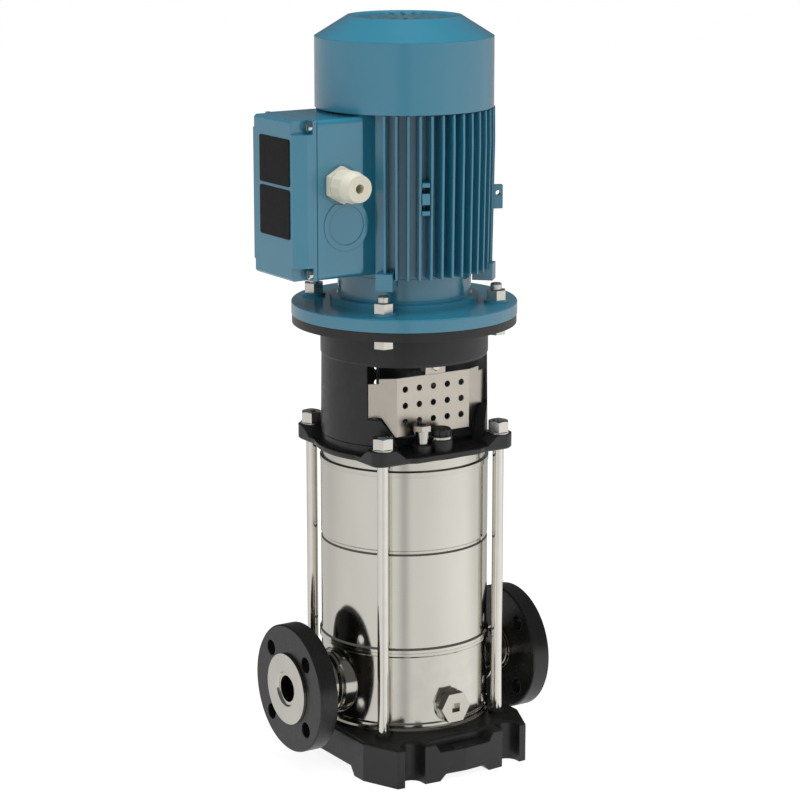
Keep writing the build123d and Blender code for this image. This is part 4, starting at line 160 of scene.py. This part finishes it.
finishes = {
    "cast_black": cast_iron_paint(
        "casting_black",
        (0.011, 0.011, 0.0105),
        (0.015, 0.015, 0.0145),
        rough=0.33, grain=0.00007,
    ),
    "flange_black": cast_iron_paint(
        "flange_black",
        (0.008, 0.008, 0.008),
        (0.012, 0.012, 0.012),
        rough=0.3, grain=0.00005,
    ),
    "stainless": polished_sheet(
        "sleeve_stainless",
        (0.62, 0.605, 0.54),
        (0.66, 0.645, 0.58),
        rough=0.1,
    ),
    "stainless_cast": turned_metal(
        "casing_stainless",
        (0.6, 0.585, 0.52),
        (0.64, 0.625, 0.56),
        rough=0.12,
    ),
    "rod_steel": turned_metal(
        "rod_steel",
        (0.7, 0.68, 0.62),
        (0.74, 0.72, 0.66),
        rough=0.1,
    ),
    "fastener": turned_metal(
        "zinc_fastener",
        (0.66, 0.64, 0.58),
        (0.7, 0.68, 0.62),
        rough=0.2,
    ),
    "guard_sheet": turned_metal(
        "guard_sheet",
        (0.57, 0.525, 0.455),
        (0.61, 0.565, 0.495),
        rough=0.3,
    ),
    "vent_black": moulded_plastic(
        "vent_knob_black",
        (0.014, 0.014, 0.014),
        (0.02, 0.02, 0.02),
        rough=0.38,
    ),
    "plug_black": cast_iron_paint(
        "plug_black",
        (0.016, 0.016, 0.016),
        (0.03, 0.03, 0.03),
        rough=0.34, grain=0.00005, edge=0.0006,
    ),
    "plug_steel": turned_metal(
        "plug_steel",
        (0.58, 0.55, 0.49),
        (0.62, 0.59, 0.53),
        rough=0.22,
    ),
    "motor_blue": motor_enamel(
        "motor_blue",
        (0.024, 0.192, 0.29),
        (0.026, 0.202, 0.304),
        rough=0.22,
    ),
    "plate_black": moulded_plastic(
        "plate_black",
        (0.006, 0.006, 0.006),
        (0.008, 0.008, 0.008),
        rough=0.34, grain=0.00001, gloss=0.12,
    ),
    "gland_cream": moulded_plastic(
        "gland_cream",
        (0.72, 0.69, 0.56),
        (0.75, 0.72, 0.59),
        rough=0.34, grain=0.00001,
    ),
    "gasket_rubber": moulded_plastic(
        "gasket_rubber",
        (0.018, 0.018, 0.018),
        (0.028, 0.028, 0.028),
        rough=0.62,
    ),
    "fan_plastic": moulded_plastic(
        "fan_plastic",
        (0.016, 0.016, 0.018),
        (0.024, 0.024, 0.026),
        rough=0.45,
    ),
    "board_plastic": moulded_plastic(
        "board_brown",
        (0.055, 0.032, 0.02),
        (0.075, 0.045, 0.03),
        rough=0.42,
    ),
    "stud_brass": turned_metal(
        "stud_brass",
        (0.6, 0.42, 0.16),
        (0.7, 0.5, 0.22),
        rough=0.24,
    ),
    "shaft_steel": turned_metal(
        "ground_shaft",
        (0.5, 0.5, 0.49),
        (0.58, 0.58, 0.57),
        rough=0.2,
    ),
    "core_steel": turned_metal(
        "laminated_steel",
        (0.16, 0.16, 0.17),
        (0.22, 0.22, 0.23),
        rough=0.42,
    ),
    "winding_copper": turned_metal(
        "enamelled_copper",
        (0.42, 0.14, 0.05),
        (0.52, 0.19, 0.07),
        rough=0.3, grain=0.00012,
    ),
    "bearing_steel": turned_metal(
        "bearing_steel",
        (0.62, 0.62, 0.62),
        (0.7, 0.7, 0.7),
        rough=0.12,
    ),
    "seal_carbon": moulded_plastic(
        "seal_carbon",
        (0.02, 0.02, 0.022),
        (0.04, 0.04, 0.042),
        rough=0.3,
    ),
    "bush_grey": moulded_plastic(
        "bush_grey",
        (0.1, 0.105, 0.11),
        (0.14, 0.145, 0.15),
        rough=0.4,
    ),
    "coupling_steel": turned_metal(
        "coupling_iron",
        (0.12, 0.12, 0.12),
        (0.18, 0.18, 0.18),
        rough=0.36, grain=0.00006,
    ),
}

# each piece gets the finish that its record names
for part in frame["record"]["subparts"]:
    mesh = nodes[part["node"]].data
    mesh.materials.clear()
    mesh.materials.append(finishes[part["material_slot"]])


# ------------------------------------------------------------------ floor, light and camera
WHITE = (1.0, 1.0, 1.0, 1.0)
FLOOR_HALF = 30.0
FLOOR_PAINT = (0.82, 0.82, 0.82, 1.0)
FLOOR_SHARE = 0.70  # share of the even white, the rest is paint that takes the shadow
FLOOR_WHITE = 1.27
DAYLIGHT = 0.44
GLOSS_SKY = 0.12
# camera: its place, the way that it looks over the floor, and how far down
CAMERA_PLACE = (-1.24910, -1.95841, 0.8559)
LOOK_X, LOOK_Y = 0.5364, 0.8440
CAMERA_PITCH = math.radians(12.916)
CAMERA_LENS = 120.13
CAMERA_SENSOR = 36.0
CAMERA_REACH = 50.0
# what polished metal sees of the floor: degrees round the pump from the camera, and how bright
MIRRORED_SIDES = (
    (-180, 0.32),
    (-126, 0.50),
    (-80, 0.64),
    (-40, 0.70),
    (-11, 0.68),
    (0, 0.36),
    (11, 0.68),
    (88, 0.92),
    (115, 0.70),
    (150, 0.32),
)
# lamps: name, place, size and power; all of them are turned to the middle of the pump
LAMP_AIM = (0.0, 0.0, 0.34)
LAMPS = (
    ("key_lamp", (-1.9, -0.6, 1.6), (0.9, 1.5), 14.0),
    ("fill_lamp", (1.0, -1.9, 1.0), (0.7, 1.6), 8.0),
    ("top_lamp", (0.1, -0.2, 2.2), (1.3, 1.3), 24.0),
)
# two small lamps under the lantern's neck, over the front guard, turned to the rear window
LANTERN_LAMP_X = 0.032
LANTERN_LAMP_Y = -0.052
LANTERN_LAMP_LEVEL = 0.376
LANTERN_AIM_Y = 0.07
LANTERN_AIM_LEVEL = 0.372
LANTERN_LAMP_SIZE = (0.02, 0.01)
LANTERN_LAMP_POWER = 0.12


def math_node(tree, operation, first, second):
    """Output of a math node; each input is a number or another node's output."""
    node = tree.nodes.new("ShaderNodeMath")
    node.operation = operation
    for socket, value in zip(node.inputs, (first, second)):
        if isinstance(value, float):
            socket.default_value = value
        else:
            tree.links.new(value, socket)
    return node.outputs[0]


def float_mix(tree, factor, first, second):
    """Output that goes from first to second with factor; first and second as in math_node."""
    node = tree.nodes.new("ShaderNodeMix")
    node.data_type = "FLOAT"
    for name, value in (("A", first), ("B", second)):
        if isinstance(value, float):
            node.inputs[name].default_value = value
        else:
            tree.links.new(value, node.inputs[name])
    tree.links.new(factor, node.inputs["Factor"])
    return node.outputs["Result"]


def mirrored_sides(tree):
    """Brightness of the floor in polished metal, by the side of the pump that it lies on."""
    around = tree.nodes.new("ShaderNodeMapping")
    around.inputs["Rotation"].default_value = (0.0, 0.0, -math.atan2(-LOOK_Y, -LOOK_X))
    tree.links.new(tree.nodes.new("ShaderNodeTexCoord").outputs["Object"], around.inputs["Vector"])
    sweep = tree.nodes.new("ShaderNodeTexGradient")
    sweep.gradient_type = "RADIAL"
    tree.links.new(around.outputs["Vector"], sweep.inputs["Vector"])
    sides = tree.nodes.new("ShaderNodeValToRGB")
    sides.color_ramp.interpolation = "EASE"
    stops = sides.color_ramp.elements
    while len(stops) < len(MIRRORED_SIDES):
        stops.new(0.5)
    for stop, (turn, level) in zip(stops, MIRRORED_SIDES):
        stop.position = 0.5 + turn / 360.0
        stop.color = (level, level, level, 1.0)
    tree.links.new(sweep.outputs["Color"], sides.inputs["Fac"])
    return sides.outputs["Color"]


def floor_finish():
    """Pale paint that takes the shadow, under an even white for what looks straight at it."""
    material = bpy.data.materials.new("floor_pale")
    material.use_nodes = True
    tree = material.node_tree
    tree.nodes.clear()
    path = tree.nodes.new("ShaderNodeLightPath").outputs
    seen = math_node(tree, "MAXIMUM", path["Is Camera Ray"], path["Is Glossy Ray"])
    clear = math_node(tree, "MAXIMUM", seen, path["Is Transmission Ray"])
    share = math_node(tree, "MULTIPLY", clear, FLOOR_SHARE)
    mirrored = math_node(tree, "MULTIPLY", mirrored_sides(tree), FLOOR_WHITE)
    level = float_mix(tree, path["Is Glossy Ray"], FLOOR_WHITE, mirrored)
    matt = tree.nodes.new("ShaderNodeBsdfDiffuse")
    matt.inputs["Color"].default_value = FLOOR_PAINT
    white = tree.nodes.new("ShaderNodeEmission")
    tree.links.new(level, white.inputs["Strength"])
    mix = tree.nodes.new("ShaderNodeMixShader")
    tree.links.new(share, mix.inputs["Fac"])
    tree.links.new(matt.outputs["BSDF"], mix.inputs[1])
    tree.links.new(white.outputs["Emission"], mix.inputs[2])
    end = tree.nodes.new("ShaderNodeOutputMaterial")
    tree.links.new(mix.outputs["Shader"], end.inputs["Surface"])
    return material


def studio_floor():
    """Pale floor that shows white and keeps the pump's soft shadow."""
    shape = bmesh.new()
    bmesh.ops.create_grid(shape, x_segments=1, y_segments=1, size=FLOOR_HALF)
    mesh = bpy.data.meshes.new("floor")
    shape.to_mesh(mesh)
    shape.free()
    mesh.materials.append(floor_finish())
    floor = bpy.data.objects.new("floor", mesh)
    bpy.context.scene.collection.objects.link(floor)


def studio_world():
    """Even daylight for the pump, dim above the horizon where glossy faces mirror it."""
    world = bpy.data.worlds.new("studio")
    world.use_nodes = True
    bpy.context.scene.world = world
    tree = world.node_tree
    tree.nodes.clear()
    path = tree.nodes.new("ShaderNodeLightPath").outputs
    strength = float_mix(tree, path["Is Glossy Ray"], DAYLIGHT, GLOSS_SKY)
    for ray in ("Is Camera Ray", "Is Transmission Ray"):
        strength = float_mix(tree, path[ray], strength, 1.0)
    light = tree.nodes.new("ShaderNodeBackground")
    light.inputs["Color"].default_value = WHITE
    tree.links.new(strength, light.inputs["Strength"])
    end = tree.nodes.new("ShaderNodeOutputWorld")
    tree.links.new(light.outputs["Background"], end.inputs["Surface"])


def soft_lamp(name, place, aim, size, power):
    """Soft lamp turned towards aim, which lights the pump but isn't mirrored in it."""
    data = bpy.data.lights.new(name, "AREA")
    data.shape = "RECTANGLE"
    data.size, data.size_y = size
    data.energy = power
    lamp = bpy.data.objects.new(name, data)
    lamp.location = place
    lamp.rotation_euler = (Vector(aim) - Vector(place)).to_track_quat("-Z", "Y").to_euler()
    lamp.visible_glossy = False
    bpy.context.scene.collection.objects.link(lamp)


def studio_lamps():
    """Key, fill and top lamp round the pump, and the small pair inside the lantern."""
    for name, place, size, power in LAMPS:
        soft_lamp(name, place, LAMP_AIM, size, power)
    for side in (-1, 1):
        x = side * LANTERN_LAMP_X
        inside = (x, LANTERN_LAMP_Y, LANTERN_LAMP_LEVEL)
        aim = (x, LANTERN_AIM_Y, LANTERN_AIM_LEVEL)
        soft_lamp("lantern_lamp", inside, aim, LANTERN_LAMP_SIZE, LANTERN_LAMP_POWER)


def studio_camera():
    """Long lens, a little above the pump and to its front left."""
    data = bpy.data.cameras.new("camera")
    data.sensor_width = CAMERA_SENSOR
    data.lens = CAMERA_LENS
    data.clip_end = CAMERA_REACH
    camera = bpy.data.objects.new("camera", data)
    camera.location = CAMERA_PLACE
    level = math.cos(CAMERA_PITCH)
    ahead = Vector((LOOK_X * level, LOOK_Y * level, -math.sin(CAMERA_PITCH)))
    camera.rotation_euler = ahead.to_track_quat("-Z", "Y").to_euler()
    bpy.context.scene.collection.objects.link(camera)
    bpy.context.scene.camera = camera


studio_floor()
studio_world()
studio_lamps()
studio_camera()

view = bpy.context.scene.view_settings
view.view_transform = "Standard"
